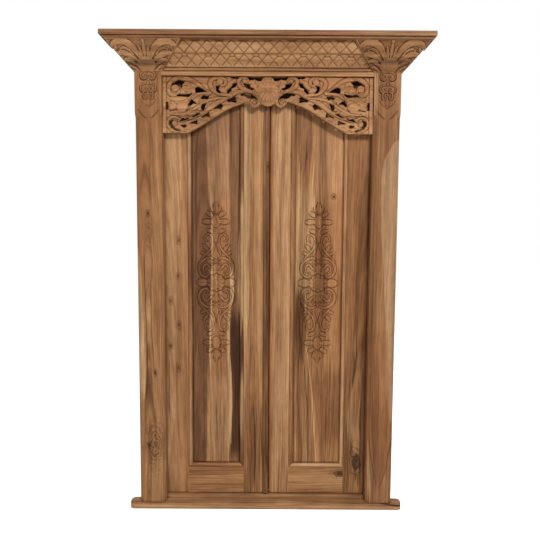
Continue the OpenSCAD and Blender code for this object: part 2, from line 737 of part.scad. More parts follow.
// One plate with its knuckles: parity 0 takes the outer and middle knuckles, 1 the two between
module hinge_plate(u, z, dir, parity) {
    step = hinge_h / knuckles;
    difference() {
        union() {
            hinge_plate_blank(u, z, dir, 0);
            for (k = [parity:2:knuckles - 1]) {
                z0 = z - hinge_h / 2 + k * step + (k > 0 ? knuckle_gap / 2 : 0);
                z1 = z - hinge_h / 2 + (k + 1) * step - (k < knuckles - 1 ? knuckle_gap / 2 : 0);
                translate([hinge_u, hinge_y, z0]) cylinder(h = z1 - z0, r = knuckle_r);
                box([min(u, u + dir * hinge_t), back_y - 1, z0], [max(u, u + dir * hinge_t), hinge_y, z1]);
            }
        }
        translate([hinge_u, hinge_y, z - hinge_h]) cylinder(h = 2 * hinge_h, r = pin_r + pin_clear);
        hinge_screws_at(u, z, dir, pin_clear);
    }
}

module hinge_frame_plate(side, z) {
    color(steel) on_side(side) hinge_plate(hinge_u + edge_gap / 2, z, 1, 0);
}

module hinge_leaf_plate(side, z) {
    color(steel) on_side(side) hinge_plate(leaf_edge_u, z, -1, 1);
}

module hinge_pin(side, z) {
    color(steel) on_side(side) translate([hinge_u, hinge_y, z]) {
        cylinder(h = hinge_h, r = pin_r, center = true);
        for (end = [-1, 1]) translate([0, 0, end * (hinge_h + pin_head[1]) / 2])
            cylinder(h = pin_head[1], r = pin_head[0], center = true);
    }
}

module frame_hinge_screws() {
    color(steel) for (side = [-1, 1], z = hinge_zs)
        on_side(side) hinge_screws_at(hinge_u + edge_gap / 2, z, 1, 0);
}

module leaf_hinge_screws(side) {
    color(steel) on_side(side) for (z = hinge_zs) hinge_screws_at(leaf_edge_u, z, -1, 0);
}

function wants(name) = node == "all" || node == name;

if (wants("threshold")) threshold();
if (wants("left_post")) post(-1);
if (wants("right_post")) post(1);
if (wants("head_beam")) head_beam();
if (wants("head_stop")) head_stop();
if (wants("valance")) valance();
if (wants("lower_frieze")) lower_frieze();
if (wants("upper_frieze")) upper_frieze();
if (wants("left_capital")) capital(-1);
if (wants("right_capital")) capital(1);
if (wants("cornice_cap")) cornice_cap();
if (wants("frame_hinge_screws")) frame_hinge_screws();
if (wants("astragal")) astragal();
for (i = [0, 1]) {
    side = 2 * i - 1;
    if (wants(str(sides[i], "_hinge_stile"))) hinge_stile(side);
    if (wants(str(sides[i], "_meeting_stile"))) meeting_stile(side);
    if (wants(str(sides[i], "_top_rail"))) rail(side, panel_high, leaf_high);
    if (wants(str(sides[i], "_bottom_rail"))) rail(side, leaf_low, panel_low);
    if (wants(str(sides[i], "_panel"))) panel(side);
    if (wants(str(sides[i], "_bead_hinge_side"))) bead(side, 0);
    if (wants(str(sides[i], "_bead_top"))) bead(side, 1);
    if (wants(str(sides[i], "_bead_meeting_side"))) bead(side, 2);
    if (wants(str(sides[i], "_bead_bottom"))) bead(side, 3);
    if (wants(str(sides[i], "_hinge_screws"))) leaf_hinge_screws(side);
    for (h = [0:len(hinge_names) - 1]) {
        name = str(sides[i], "_", hinge_names[h], "_hinge_");
        if (wants(str(name, "frame_plate"))) hinge_frame_plate(side, hinge_zs[h]);
        if (wants(str(name, "leaf_plate"))) hinge_leaf_plate(side, hinge_zs[h]);
        if (wants(str(name, "pin"))) hinge_pin(side, hinge_zs[h]);
    }
}
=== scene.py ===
"""Looks of a carved double door in its frame: carved pieces, teak boards, steel hinges, light and camera."""

import math

import bpy
import numpy as np
from mathutils import Matrix, Vector


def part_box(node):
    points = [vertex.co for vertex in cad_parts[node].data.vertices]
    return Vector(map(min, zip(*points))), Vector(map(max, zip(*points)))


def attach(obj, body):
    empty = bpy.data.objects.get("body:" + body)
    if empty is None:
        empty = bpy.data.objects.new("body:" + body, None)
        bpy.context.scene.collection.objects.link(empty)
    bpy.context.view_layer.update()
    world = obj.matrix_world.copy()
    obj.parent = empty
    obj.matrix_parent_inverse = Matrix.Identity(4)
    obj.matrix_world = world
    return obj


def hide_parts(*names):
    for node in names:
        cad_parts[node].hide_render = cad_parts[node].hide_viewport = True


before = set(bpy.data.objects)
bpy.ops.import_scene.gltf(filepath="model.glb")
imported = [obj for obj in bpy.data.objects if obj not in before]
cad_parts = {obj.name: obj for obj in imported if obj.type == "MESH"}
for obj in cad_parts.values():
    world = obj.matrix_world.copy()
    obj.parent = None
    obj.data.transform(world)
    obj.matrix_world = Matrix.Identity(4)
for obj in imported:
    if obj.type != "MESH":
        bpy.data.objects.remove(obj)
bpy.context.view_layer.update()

MM = 0.001
SIDES = {-1: "left", 1: "right"}

# Camera: where it stands, how it tilts and its focal length in pixels of a 540 pixel wide picture
CAMERA_AT = (0.03, -2.5, 1.355)
CAMERA_PITCH = math.radians(-4.6)
CAMERA_ROLL = math.radians(0.35)
FOCAL_PX = 527.0
FRAME_PX = 540.0
CENTRE_SHIFT_PX = -3.3
SENSOR_MM = 36.0

# Level of the even light, and each lamp's place, what it points at, its size in metres and its power
AMBIENT = 0.36
LAMPS = {
    "key": ((1.5, -3.9, 3.5), (0, 0, 1.1), 1.0, 146),
    "fill": ((-3.2, -3.4, 1.8), (0, 0, 1.0), 2.6, 40),
    "back": ((1.8, 3.4, 3.2), (0, 0, 1.1), 2.0, 70),
}


def node_box(node):
    """Lowest and highest corner of a solid, in mm."""
    return [np.array(corner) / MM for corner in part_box(node)]


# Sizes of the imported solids, in mm
POST_BOX = node_box("right_post")
CAPITAL_BOX = node_box("right_capital")
VALANCE_BOX = node_box("valance")
PANEL_BOX = node_box("right_panel")
OPEN_HALF, POST_FRONT = POST_BOX[0][:2]
FRAME_HALF, BACK_Y, CAP_Z = POST_BOX[1]
POST_MID = (OPEN_HALF + FRAME_HALF) / 2
LEAF_FRONT = node_box("right_hinge_stile")[0][1]
WALL_Y = CAPITAL_BOX[1][1]
CAPITAL_Z = CAPITAL_BOX[0][2]
HEAD_Z = VALANCE_BOX[1][2]
# Top of the threshold's tread, where the posts' shoulders stand
TREAD_Z = 30.0
# Least step between two points that have to stay apart
HAIR = 0.01


def camera_matrix():
    turn = Matrix.Rotation(math.radians(90) + CAMERA_PITCH, 4, "X") @ Matrix.Rotation(CAMERA_ROLL, 4, "Z")
    return Matrix.Translation(CAMERA_AT) @ turn


def spot(px, py, plane_y):
    """Point in mm, across and up, where the ray through a pixel meets the plane at depth plane_y."""
    ray = Vector(((px - FRAME_PX / 2 + CENTRE_SHIFT_PX) / FOCAL_PX, (FRAME_PX / 2 - py) / FOCAL_PX, -1))
    ray = camera_matrix().to_3x3() @ ray
    far = (plane_y * MM - CAMERA_AT[1]) / ray.y
    return (CAMERA_AT[0] + ray.x * far) / MM, (CAMERA_AT[2] + ray.z * far) / MM


# Relief drawing

# Section of a band: how full it is, how deep its veins are against its height, and how far out they reach
BAND_FULLNESS, VEIN_DEPTH, VEIN_REACH = 0.7, 0.3, 0.8
# Width of a leaf's middle vein against the leaf's
LEAF_VEIN_W = 0.12


def smooth(points, per_span=8):
    """Points along a Catmull-Rom curve through the given ones."""
    p = np.asarray(points, float)
    p = np.vstack([2 * p[0] - p[1], p, 2 * p[-1] - p[-2]])
    t = np.linspace(0, 1, per_span, endpoint=False)[:, None]
    spans = []
    for a, b, c, d in zip(p[:-3], p[1:-2], p[2:-1], p[3:]):
        spans.append(0.5 * (2 * b + (c - a) * t + (2 * a - 5 * b + 4 * c - d) * t ** 2
                            + (3 * b - a - 3 * c + d) * t ** 3))
    return np.vstack(spans + [p[-2:-1]])


def ramp(x, low, high):
    """Smooth step from 0 at low to 1 at high."""
    t = np.clip((x - low) / (high - low), 0, 1)
    return t * t * (3 - 2 * t)


def near_line(u, v, line, margin):
    """Which points lie in a line's box, with a margin round it."""
    low = np.min(line, axis=0) - margin
    high = np.max(line, axis=0) + margin
    return (u > low[0]) & (u < high[0]) & (v > low[1]) & (v < high[1])


def curve_distance(u, v, line):
    """Distance from each point to a polyline, and how far along it the nearest point lies, from 0 to 1."""
    best = np.full(u.shape, np.inf)
    along = np.zeros(u.shape)
    count = len(line) - 1
    for i in range(count):
        a = line[i]
        d = line[i + 1] - a
        t = np.clip(((u - a[0]) * d[0] + (v - a[1]) * d[1]) / max(d @ d, 1e-9), 0, 1)
        gap = np.hypot(u - a[0] - t * d[0], v - a[1] - t * d[1])
        near = gap < best
        best[near] = gap[near]
        along[near] = ((i + t) / count)[near]
    return best, along


def polygon_distance(u, v, corners):
    """Signed distance to a closed polygon, negative inside it."""
    c = np.asarray(corners, float)
    gap, _ = curve_distance(u, v, np.vstack([c, c[:1]]))
    inside = np.zeros(u.shape, bool)
    for a, b in zip(c, np.roll(c, -1, axis=0)):
        if a[1] != b[1]:
            cross = (a[1] > v) != (b[1] > v)
            inside ^= cross & (u < (b[0] - a[0]) * (v - a[1]) / (b[1] - a[1]) + a[0])
    return np.where(inside, -gap, gap)


def domed(s):
    """Section of a rounded form, from 1 at its middle to 0 at its rim, where s is 1."""
    return np.sqrt(np.clip(1 - s ** 2, 0, 1))


def edge_cut(s, depth, middle=1.15, half=0.3):
    """Depth of the cut round a form, for s from 0 at the form's middle to 1 at its rim."""
    return depth * np.clip(1 - np.abs(s - middle) / half, 0, 1) * (s >= 1)


class Relief:
    """Carving as a height over a ground, drawn in painter's order on points u, v."""

    def __init__(self, u, v):
        self.u, self.v = np.broadcast_arrays(u, v)
        self.h = np.zeros(self.u.shape)

    def ribbon(self, points, widths, height, edge=0.0, lift=0.0, veins=0):
        """Rounded band along a curve, with its widths from start to end, an edge cut and veins along it."""
        line = smooth(points)
        m = near_line(self.u, self.v, line, max(widths) * 1.5)
        gap, along = curve_distance(self.u[m], self.v[m], line)
        s = gap / (np.interp(along, np.linspace(0, 1, len(widths)), widths) / 2)
        top = height * domed(s) ** BAND_FULLNESS
        if veins:
            grooves = 0.5 + 0.5 * np.cos(2 * np.pi * veins * s)
            top -= height * VEIN_DEPTH * grooves * (s < VEIN_REACH)
        self.h[m] = np.where(s < 1, np.maximum(top + lift, 0), self.h[m] - edge_cut(s, edge))

    def cut(self, points, width, depth, taper=False):
        """Groove with a V section along a curve."""
        line = smooth(points)
        m = near_line(self.u, self.v, line, width)
        gap, along = curve_distance(self.u[m], self.v[m], line)
        full = np.sin(np.pi * np.clip(along, 0.04, 0.96)) ** 0.5 if taper else 1.0
        self.h[m] -= depth * full * np.clip(1 - gap / (width / 2), 0, 1)

    def dome(self, u0, v0, ru, rv, height, edge=0.0, lift=0.0):
        """Oval boss round a middle, with its reach across and up."""
        s = np.hypot((self.u - u0) / ru, (self.v - v0) / rv)
        self.h = np.where(s < 1, lift + height * domed(s), self.h - edge_cut(s, edge, 1.12, 0.25))

    def leaf(self, foot, tip, width, height, edge=0.0, lift=0.0, vein=0.0):
        """Pointed leaf from foot to tip, domed, with a middle vein."""
        foot = np.asarray(foot, float)
        d = np.asarray(tip, float) - foot
        length = np.hypot(*d)
        t = ((self.u - foot[0]) * d[0] + (self.v - foot[1]) * d[1]) / length ** 2
        side = np.abs((self.u - foot[0]) * d[1] - (self.v - foot[1]) * d[0]) / length
        half = width / 2 * np.sqrt(np.clip(np.sin(np.pi * np.clip(t, 0, 1)), 0, 1))
        s = np.where((t > 0) & (t < 1), side / np.maximum(half, 1e-6), 9)
        groove = vein * np.clip(1 - side / (width * LEAF_VEIN_W), 0, 1)
        self.h = np.where(s < 1, lift + height * domed(s) - groove, self.h - edge_cut(s, edge))


# Meshes

SHARP_ANGLE = math.radians(30)
# More than any mesh has vertices
VERTEX_LIMIT = 10 ** 8


def add_object(name, data):
    thing = bpy.data.objects.new(name, data)
    bpy.context.scene.collection.objects.link(thing)
    return thing


def mesh_piece(name, verts, faces, body, slot, node=None, relief=None):
    """Mesh object from points in mm, riding on a body and standing for a node."""
    mesh = bpy.data.meshes.new(name)
    mesh.from_pydata([tuple(p) for p in np.asarray(verts) * MM], [], [tuple(f) for f in faces])
    mesh.validate()
    if relief is not None:
        heights = np.asarray(relief, np.float32)
        mesh.attributes.new("relief", "FLOAT", "POINT").data.foreach_set("value", heights)
    piece = add_object(name, mesh)
    mesh.shade_smooth()
    mesh.set_sharp_from_angle(angle=SHARP_ANGLE)
    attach(piece, body)
    if node:
        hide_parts(node)
    return piece


def points_at(x, y, z):
    """Points as rows, from coordinates that are arrays or single values."""
    return np.column_stack(np.broadcast_arrays(x, y, z))


def grid_quads(rows, cols):
    """Quads of a grid of vertices that are numbered row by row."""
    index = np.arange(rows * cols).reshape(rows, cols)
    corners = [index[:-1, :-1], index[:-1, 1:], index[1:, 1:], index[1:, :-1]]
    return np.stack(corners, axis=-1).reshape(-1, 4)


def cells_inside(distance, keep):
    """Quads of a grid whose corners all lie within keep of the wood."""
    quads = grid_quads(*distance.shape)
    return quads[(distance.ravel()[quads] < keep).all(axis=1)]


def boundary_edges(quads):
    """Directed edges that only one quad uses."""
    edges = np.vstack([quads[:, [i, (i + 1) % 4]] for i in range(4)])
    key = edges.min(axis=1).astype(np.int64) * VERTEX_LIMIT + edges.max(axis=1)
    _, first, count = np.unique(key, return_index=True, return_counts=True)
    return edges[first[count == 1]]


def loft(loops):
    """Faces between closed loops of equally many points, with the first and last loop capped."""
    n = len(loops[0])
    faces = []
    for k in range(len(loops) - 1):
        for i in range(n):
            j = (i + 1) % n
            faces.append((k * n + i, k * n + j, (k + 1) * n + j, (k + 1) * n + i))
    faces.append(tuple(range(n))[::-1])
    faces.append(tuple(range((len(loops) - 1) * n, len(loops) * n)))
    return np.vstack(loops), faces


def for_side(side, verts, faces):
    """Mesh as it is on the right, or mirrored for the left."""
    if side > 0:
        return verts, faces
    return np.asarray(verts) * (-1, 1, 1), [f[::-1] for f in faces]


# Valance, drawn on squares: 104 from the middle to the end and 57 down from the top edge

VALANCE_FRONT, VALANCE_BACK = VALANCE_BOX[0][1], VALANCE_BOX[1][1]
VALANCE_DROP = HEAD_Z - VALANCE_BOX[0][2]
SQUARES = (104.0, 57.0)
GLUE_ROWS = (13.3, 34.3)
VALANCE_CELL = 2.3
VALANCE_RELIEF = 15.0
VALANCE_PROUD = 5.0
# How much wider each opening is than drawn, and how far round it the wood is measured, in squares
HOLE_GROWTH = 0.5
HOLE_REACH = 8
# Moving the rim's points to the outline: rounds, trial step, largest move in mm, least slope and top factor
RIM_ROUNDS, RIM_STEP, RIM_MOVE = 4, 0.3, 1.2
RIM_LEAST_SLOPE, RIM_FACTOR = 1e-4, 40
# How far past the wood a cell may reach, in cells, and how much of the carving's height its rim loses
RIM_KEEP = 0.45
RIM_LOSS = 0.28

VALANCE_EDGE = [
    (0, 29.6), (3.4, 28.8), (5.4, 27.1), (7.4, 27.8), (9.4, 30.1), (12.3, 31.4), (15.7, 30.4), (18, 27.8),
    (19.3, 25.1), (21, 25.1), (27.6, 27.8), (34.2, 30.4), (41.5, 34.1), (52.6, 41.4), (59.2, 45.3),
    (65.7, 49.7), (72.2, 53.5), (79, 57), (104, 57),
]
VALANCE_HOLES = [
    [(36.2, -1), (27.6, -1), (29.8, 2), (31.5, 1.3), (33.5, 1.9), (35.9, 1.2)],
    [(20, -1), (2.7, -1), (5.4, 0.9), (7, 3.9), (9.4, 3.9), (13, 2.2), (15, 2.9), (18, 3.1)],
    [(30.6, 6.6), (34.2, 7.5), (34.6, 9.5), (38.2, 12.9), (39.9, 14.8), (39.5, 16.8), (35.9, 14.2),
     (36.5, 11.6), (32.2, 10.2)],
    [(23.6, 7.2), (17.6, 7.9), (18, 10.2), (14, 12.4), (15.7, 13.2), (19.3, 11.9), (22.3, 9.5)],
    [(26.6, 17.8), (23.6, 16.8), (19.3, 16.3), (15.7, 17.5), (12.7, 19.8), (10.9, 23), (13.7, 21.1),
     (17, 21.8), (20.3, 20.8), (23, 18.5), (26, 18.7)],
    [(40, 23.6), (33.2, 20), (31.2, 21.5), (32.2, 23.1), (31.2, 25.6), (35.9, 24.5), (38.5, 25.1)],
    [(50.7, 9.8), (47.5, 9.4), (49.2, 12.4), (46.1, 16.5), (48.8, 15.9), (50.5, 13.7)],
    [(94.3, 8.9), (91, 5.8), (87.5, 4), (82.1, 5.4), (84.7, 8.3), (84.5, 10.3), (85.5, 12.3), (87, 10.8),
     (88, 9), (90.5, 7.8), (92.5, 8.1)],
    [(71.3, 12), (69.1, 10.7), (65.7, 12), (60.9, 15.2), (66.5, 15.4), (70.9, 15.9)],
    [(89.5, 19.8), (87.3, 18), (83.9, 18.5), (80, 18), (74.8, 17.2), (78.2, 20.2), (83, 19.8)],
    [(65.7, 21.1), (63.5, 19.3), (58.3, 19.8), (59.8, 22.6), (61.8, 21.5), (64.4, 22.6)],
    [(78.4, 28.7), (75.2, 23.3), (70.5, 27.1), (73.5, 26.7), (76.9, 29.5)],
    [(65.7, 31.5), (64.8, 28.4), (60.9, 27.1), (62.6, 31.5), (63.9, 33.9)],
    [(100, 25.8), (98.4, 26.5), (99.2, 28), (98, 29.6), (99.2, 31.2), (98.4, 32.6), (100, 33.2)],
    [(74.3, 40.8), (69.5, 37.1), (67, 37.5), (72.2, 40.1)],
    [(86.5, 44.9), (83.9, 41.9), (82, 42.9), (78.2, 42.5), (83, 44.1)],
    [(53.1, 32.3), (46.6, 27.1), (44.5, 28.9), (46.2, 32.8), (49.2, 31.5)],
    [(65, 40.8), (58.3, 36.3), (57.5, 40.2), (60.9, 39.3)],
    [(76.5, 46.7), (70, 44.1), (69.8, 47.7), (72.6, 46.7)],
    [(85.6, 49.3), (81.7, 48.6), (80.6, 49.9), (82.3, 51.4)],
    [(93.4, 43.4), (96.9, 45.3), (97.1, 48), (94.7, 51.4), (91.2, 53.8), (86.5, 54.5), (91.7, 52.3),
     (94.7, 49.3), (95.6, 46.2)],
]
# Heights of the carving, from 0 deep in the wood to 1 at its top: the ground, the foot of a raised form, and
# how far a form rises from its foot
GROUND, FOOT, RISE = 0.66, 0.56, 0.42
SCROLL_FORM = {"height": RISE, "edge": 0.26, "lift": FOOT}
LEAF_FORM = {"height": RISE * 0.8, "edge": 0.2, "lift": FOOT, "vein": 0.16}
PETAL_FORM = {"height": RISE, "edge": 0.2, "lift": FOOT, "vein": 0.16}
SHELL_FORM = {"height": RISE, "edge": 0.28, "lift": FOOT}
VALANCE_LEAVES = [
    ((36, 24), (30, 20), 5), ((33, 29), (24, 24), 6), ((47, 36), (38, 29), 7), ((42, 13), (33, 4), 6),
    ((60, 27), (68, 23), 6), ((58, 24), (68, 30), 6), ((78, 11), (88, 16), 7), ((66, 12), (76, 6), 6),
    ((70, 33), (60, 28), 6), ((76, 37), (98, 37), 7), ((70, 33), (82, 38), 6), ((12, 8), (6, 4), 6),
    ((44, 10), (52, 8), 5), ((80, 22), (98, 22), 6), ((74, 14), (84, 12), 6), ((50, 24), (58, 20), 5),
]
VALANCE_SCROLLS = [
    # Main stem, its side stem and the stem under it
    ([(14.3, 15.5), (17.6, 14.6), (24.3, 14.6), (30.9, 16.0), (35.9, 18.6), (42.5, 22.1), (47.5, 25.1),
      (54, 28.9), (59.2, 33.6), (65.7, 37.1), (76.5, 41.9), (87.8, 44.5)],
     [2.2, 3.2, 4, 4.4, 4.4, 3.8, 3.4, 2.6], 2),
    ([(57, 16.3), (64.8, 17.2), (70.5, 18.9), (74.8, 22.4), (77.4, 25.8)], [4, 3, 2], 1),
    ([(40, 21.5), (50, 22), (60, 24.6), (70, 31), (80, 37), (92, 38.5)], [2, 3, 3, 2.6, 2], 1),
    # Three scrolls along the top
    ([(36.5, 18.8), (47.5, 17.4), (54.5, 13), (56.8, 6.5), (53.5, 2.4), (47, 1.4), (42.2, 3.9), (42.2, 8),
      (46, 9.2)], [3, 4.2, 4, 3.6, 2.4], 2),
    ([(59.5, 15), (64.5, 11.1), (69.5, 7.1), (76.5, 3.3), (83.5, 2.1), (89.5, 2.4), (94, 4.8), (96.7, 8.8),
      (97.6, 13.3), (96, 17.6), (92, 18.9), (88.4, 17), (87.6, 14.4)],
     [2, 3.4, 4.4, 4.6, 4.2, 3.8, 3.2, 2.4], 2),
    ([(14.5, 13.5), (19.3, 13.2), (25.9, 11.5), (28.9, 6.9), (28.3, 3.2), (24.9, 1.6), (21, 2.1), (19.5, 4),
      (21.6, 5.9)], [3, 3.8, 3.8, 3.2, 2], 2),
    # Volutes at both ends of the lower band
    ([(14.3, 15.5), (10.6, 17.8), (8.9, 21.8), (8.6, 25.1), (10.4, 28.4), (13.3, 29.6), (16.2, 27.3),
      (15.7, 24.6), (13.3, 23.7)], [2.4, 3.2, 3.2, 2.8, 2], 1),
    ([(76.5, 42.3), (84, 44.6), (88.6, 42.2), (93, 40.8), (97.2, 42.8), (98.9, 47), (97.6, 51.4), (94, 54.6),
      (88, 55.6)], [2, 2.6, 2.8, 2.8, 2.6, 2.2, 1.6], 0),
]
VALANCE_BOSSES = [(47.2, 5.6, 3.3, 3.0), (91.2, 11.7, 3.9, 3.7), (23, 4.4, 2.2, 2.0), (13.2, 26.2, 1.9, 1.9),
                  (92.1, 47.4, 2.6, 2.6)]
# Leaf band along the lower edge, and its widths
LOWER_BAND = [(21, 27.5), (34, 29), (43.5, 33.2), (54, 40), (62, 45), (70, 49.5), (78, 52.5), (86, 53)]
LOWER_BAND_W = [3, 6, 7, 6.5, 6.5, 6.5, 6, 3]
# Flutes across that band: how many, the first one's place, the step to the next, and the third one's extra drop
FLUTES, FLUTE_START, FLUTE_STEP, FLUTE_DROP = 9, (27, 27.6), (6.4, 3.05), 1.2
SHELL_KNOB = (0, 13.5)
# Where the plain border at each end starts, and the rows where a cut parts it from the carving
BORDER_U = 100
BORDER_CUTS = ((-2, 25), (34, 59))


def valance_outline(u, v):
    """Signed distance to the valance's wood in squares, negative inside it."""
    # The outline runs on past the middle, so that the middle is no edge
    past = -SQUARES[0] / 9
    outline = VALANCE_EDGE + [(SQUARES[0], 0), (past, 0), (past, VALANCE_EDGE[0][1])]
    d = polygon_distance(u, v, outline)
    for hole in VALANCE_HOLES:
        m = near_line(u, v, hole, HOLE_REACH)
        d[m] = np.maximum(d[m], HOLE_GROWTH - polygon_distance(u[m], v[m], hole))
    return d


def valance_relief(u, v):
    """Height of the valance's carving, from 0 deep in the wood to 1 at its top."""
    r = Relief(u, v)
    r.h += GROUND
    for foot, tip, width in VALANCE_LEAVES:
        r.leaf(foot, tip, width, **LEAF_FORM)
    # Leaf band along the lower edge, with slanted flutes
    r.ribbon(LOWER_BAND, LOWER_BAND_W, RISE * 0.9, 0.12, FOOT)
    for k in range(FLUTES):
        a = np.array(FLUTE_START) + np.array(FLUTE_STEP) * k + (0, FLUTE_DROP if k > 1 else 0)
        r.cut([a, a + (3.2, 0.6), a + (5.6, 3.2)], 1.4, 0.3, True)
    for points, widths, veins in VALANCE_SCROLLS:
        r.ribbon(points, widths, veins=veins, **SCROLL_FORM)
    for boss in VALANCE_BOSSES:
        r.dome(*boss, **SCROLL_FORM)
    # Eye of the outer top scroll
    r.dome(90.7, 12.4, 1.6, 1.6, 0.1, 0.16, 0.84)
    # Bud with petals in front of the end border
    for tip in [(98.2, 26.5), (98.8, 29.5), (98.2, 33)]:
        r.leaf((88, 30), tip, 4.2, **PETAL_FORM)
    r.dome(84.5, 31, 5.6, 4.6, **SCROLL_FORM)
    # Shell over the middle, fluted upwards and downwards from its knob
    r.dome(0, 14.6, 9.6, 15.6, **SHELL_FORM)
    for angle in np.radians(range(-75, 76, 25)):
        for up, reach in ((-1, 13.0), (1, 14.4)):
            way = np.array([abs(math.sin(angle)), up * math.cos(angle)])
            r.cut([way * 2.4 + SHELL_KNOB, way * (8.5, reach) + SHELL_KNOB], 1.3, 0.1)
    r.dome(*SHELL_KNOB, 2.6, 1.7, 0.3, 0.2, 0.7)
    # Plain border at the end, with the cut that parts it from the carving
    r.h = np.where(u > BORDER_U, GROUND, r.h)
    for top, foot in BORDER_CUTS:
        r.cut([(BORDER_U - 0.3, top), (BORDER_U - 0.3, foot)], 1.0, 0.35)
    for row in GLUE_ROWS:
        r.h = np.where(np.abs(v - row) < 0.35, r.h - 0.08, r.h)
    return np.clip(r.h, 0.0, 1.0)


def make_valance():
    to_u = SQUARES[0] / OPEN_HALF
    to_v = SQUARES[1] / VALANCE_DROP
    xs = np.linspace(-OPEN_HALF, OPEN_HALF, 2 * int(OPEN_HALF / VALANCE_CELL) + 1)
    drops = np.linspace(0, VALANCE_DROP, int(VALANCE_DROP / VALANCE_CELL) + 1)
    x, drop = np.meshgrid(xs, drops)

    def distance(at_x, at_drop):
        return valance_outline(np.abs(at_x) * to_u, at_drop * to_v)

    quads = cells_inside(distance(x, drop), RIM_KEEP * VALANCE_CELL * to_u)
    edge = boundary_edges(quads)
    x, drop = x.ravel(), drop.ravel()
    rim = np.unique(edge)
    step = RIM_STEP
    for _ in range(RIM_ROUNDS):
        at_x, at_drop = x[rim], drop[rim]
        slope_x = (distance(at_x + step, at_drop) - distance(at_x - step, at_drop)) / (2 * step)
        slope_drop = (distance(at_x, at_drop + step) - distance(at_x, at_drop - step)) / (2 * step)
        slope = np.maximum(slope_x ** 2 + slope_drop ** 2, RIM_LEAST_SLOPE)
        move = np.clip(distance(at_x, at_drop) / slope, -RIM_FACTOR, RIM_FACTOR)
        x[rim] = np.clip(at_x - np.clip(move * slope_x, -RIM_MOVE, RIM_MOVE), -OPEN_HALF, OPEN_HALF)
        drop[rim] = np.clip(at_drop - np.clip(move * slope_drop, -RIM_MOVE, RIM_MOVE), 0, VALANCE_DROP)
    used = np.unique(quads)
    new = np.full(len(x), -1)
    new[used] = np.arange(len(used))
    quads = new[quads]
    edge = new[edge]
    x, drop = x[used], drop[used]
    inside = -distance(x, drop)
    h = valance_relief(np.abs(x) * to_u, drop * to_v)
    h = h * (1 - RIM_LOSS + RIM_LOSS * ramp(inside, 0.0, 0.5))
    front = VALANCE_FRONT - VALANCE_PROUD + VALANCE_RELIEF * (1 - h)
    z = HEAD_Z - drop
    n = len(x)
    verts = np.vstack([points_at(x, front, z), points_at(x, VALANCE_BACK, z)])
    faces = [tuple(q[::-1]) for q in quads]
    faces += [tuple(q + n) for q in quads]
    faces += [(a, b, b + n, a + n) for a, b in edge]
    # Back faces get a relief under any carving, so the back and the walls of the holes take the darkest painted
    # shade
    return mesh_piece("valance_carving", verts, faces, "frame", "carved_teak", "valance",
                      np.concatenate([h, np.full(n, -1.0)]))


# Panels with a carved medallion

def panel_spans(inset):
    """What a panel spans across and up, so far in from its edges."""
    return [(PANEL_BOX[0][axis] + inset, PANEL_BOX[1][axis] - inset) for axis in (0, 2)]


TONGUE_SPANS = panel_spans(0.0)
OPEN_SPANS = panel_spans(9.2)
FIELD_SPANS = panel_spans(35.0)
FIELD_Y, PANEL_BACK = PANEL_BOX[0][1], PANEL_BOX[1][1]
MARGIN_Y = 18.0
TONGUE_Y = (21.0, 35.0)
# Grid of the field: columns, rows above and below the medallion, the step to them and the plain edge in mm
FIELD_COLUMNS = 132
PLAIN_ROWS = 8
PLAIN_GAP = 4.0
FIELD_FADE = 6.0
MEDALLION_Z = 1090.0
MEDALLION_REACH = 398.0
MEDALLION_CELL = 1.6
# How deep the medallion's ground lies, and the lowest and highest point of its carving, in mm
MEDALLION_SUNK = 2.2
MEDALLION_LIMITS = (-8.0, 2.0)
MEDALLION_FORM = {"height": 4.2, "edge": 3.2, "lift": -MEDALLION_SUNK}
MEDALLION_VEIN = 2.2
MEDALLION_EDGE = [(0, 388), (20, 368), (46, 338), (70, 296), (52, 252), (62, 214), (80, 150), (94, 84),
                  (86, 40), (98, 0)]
MEDALLION_BANDS = [
    # Heart scroll, the leaf inside it, and the curl at its top
    ([(8, 112), (28, 120), (54, 112), (75, 92), (81, 66), (72, 40), (52, 28), (37, 36), (42, 48)],
     [7, 12, 14, 14, 13, 11, 8, 6], 1),
    ([(12, 60), (28, 72), (44, 88), (58, 78), (60, 60), (50, 50)], [6, 11, 12, 10, 8, 5], 1),
    ([(6, 94), (16, 102), (25, 94), (20, 85), (13, 88)], [6, 7, 6, 5], 0),
    # Stem and its volute
    ([(80, 100), (60, 124), (38, 146), (22, 168), (15, 194), (19, 220), (36, 231), (52, 220), (51, 204),
      (40, 199)], [6, 9, 11, 11, 10, 10, 9, 8, 6], 1),
]
MEDALLION_LEAVES = [
    ((34, 150), (64, 186), 17), ((46, 136), (78, 146), 15), ((24, 128), (4, 196), 13),
    ((8, 240), (46, 254), 18), ((10, 292), (68, 290), 24), ((12, 316), (46, 338), 20),
    ((6, 330), (22, 366), 18), ((0, 326), (0, 388), 22),
]


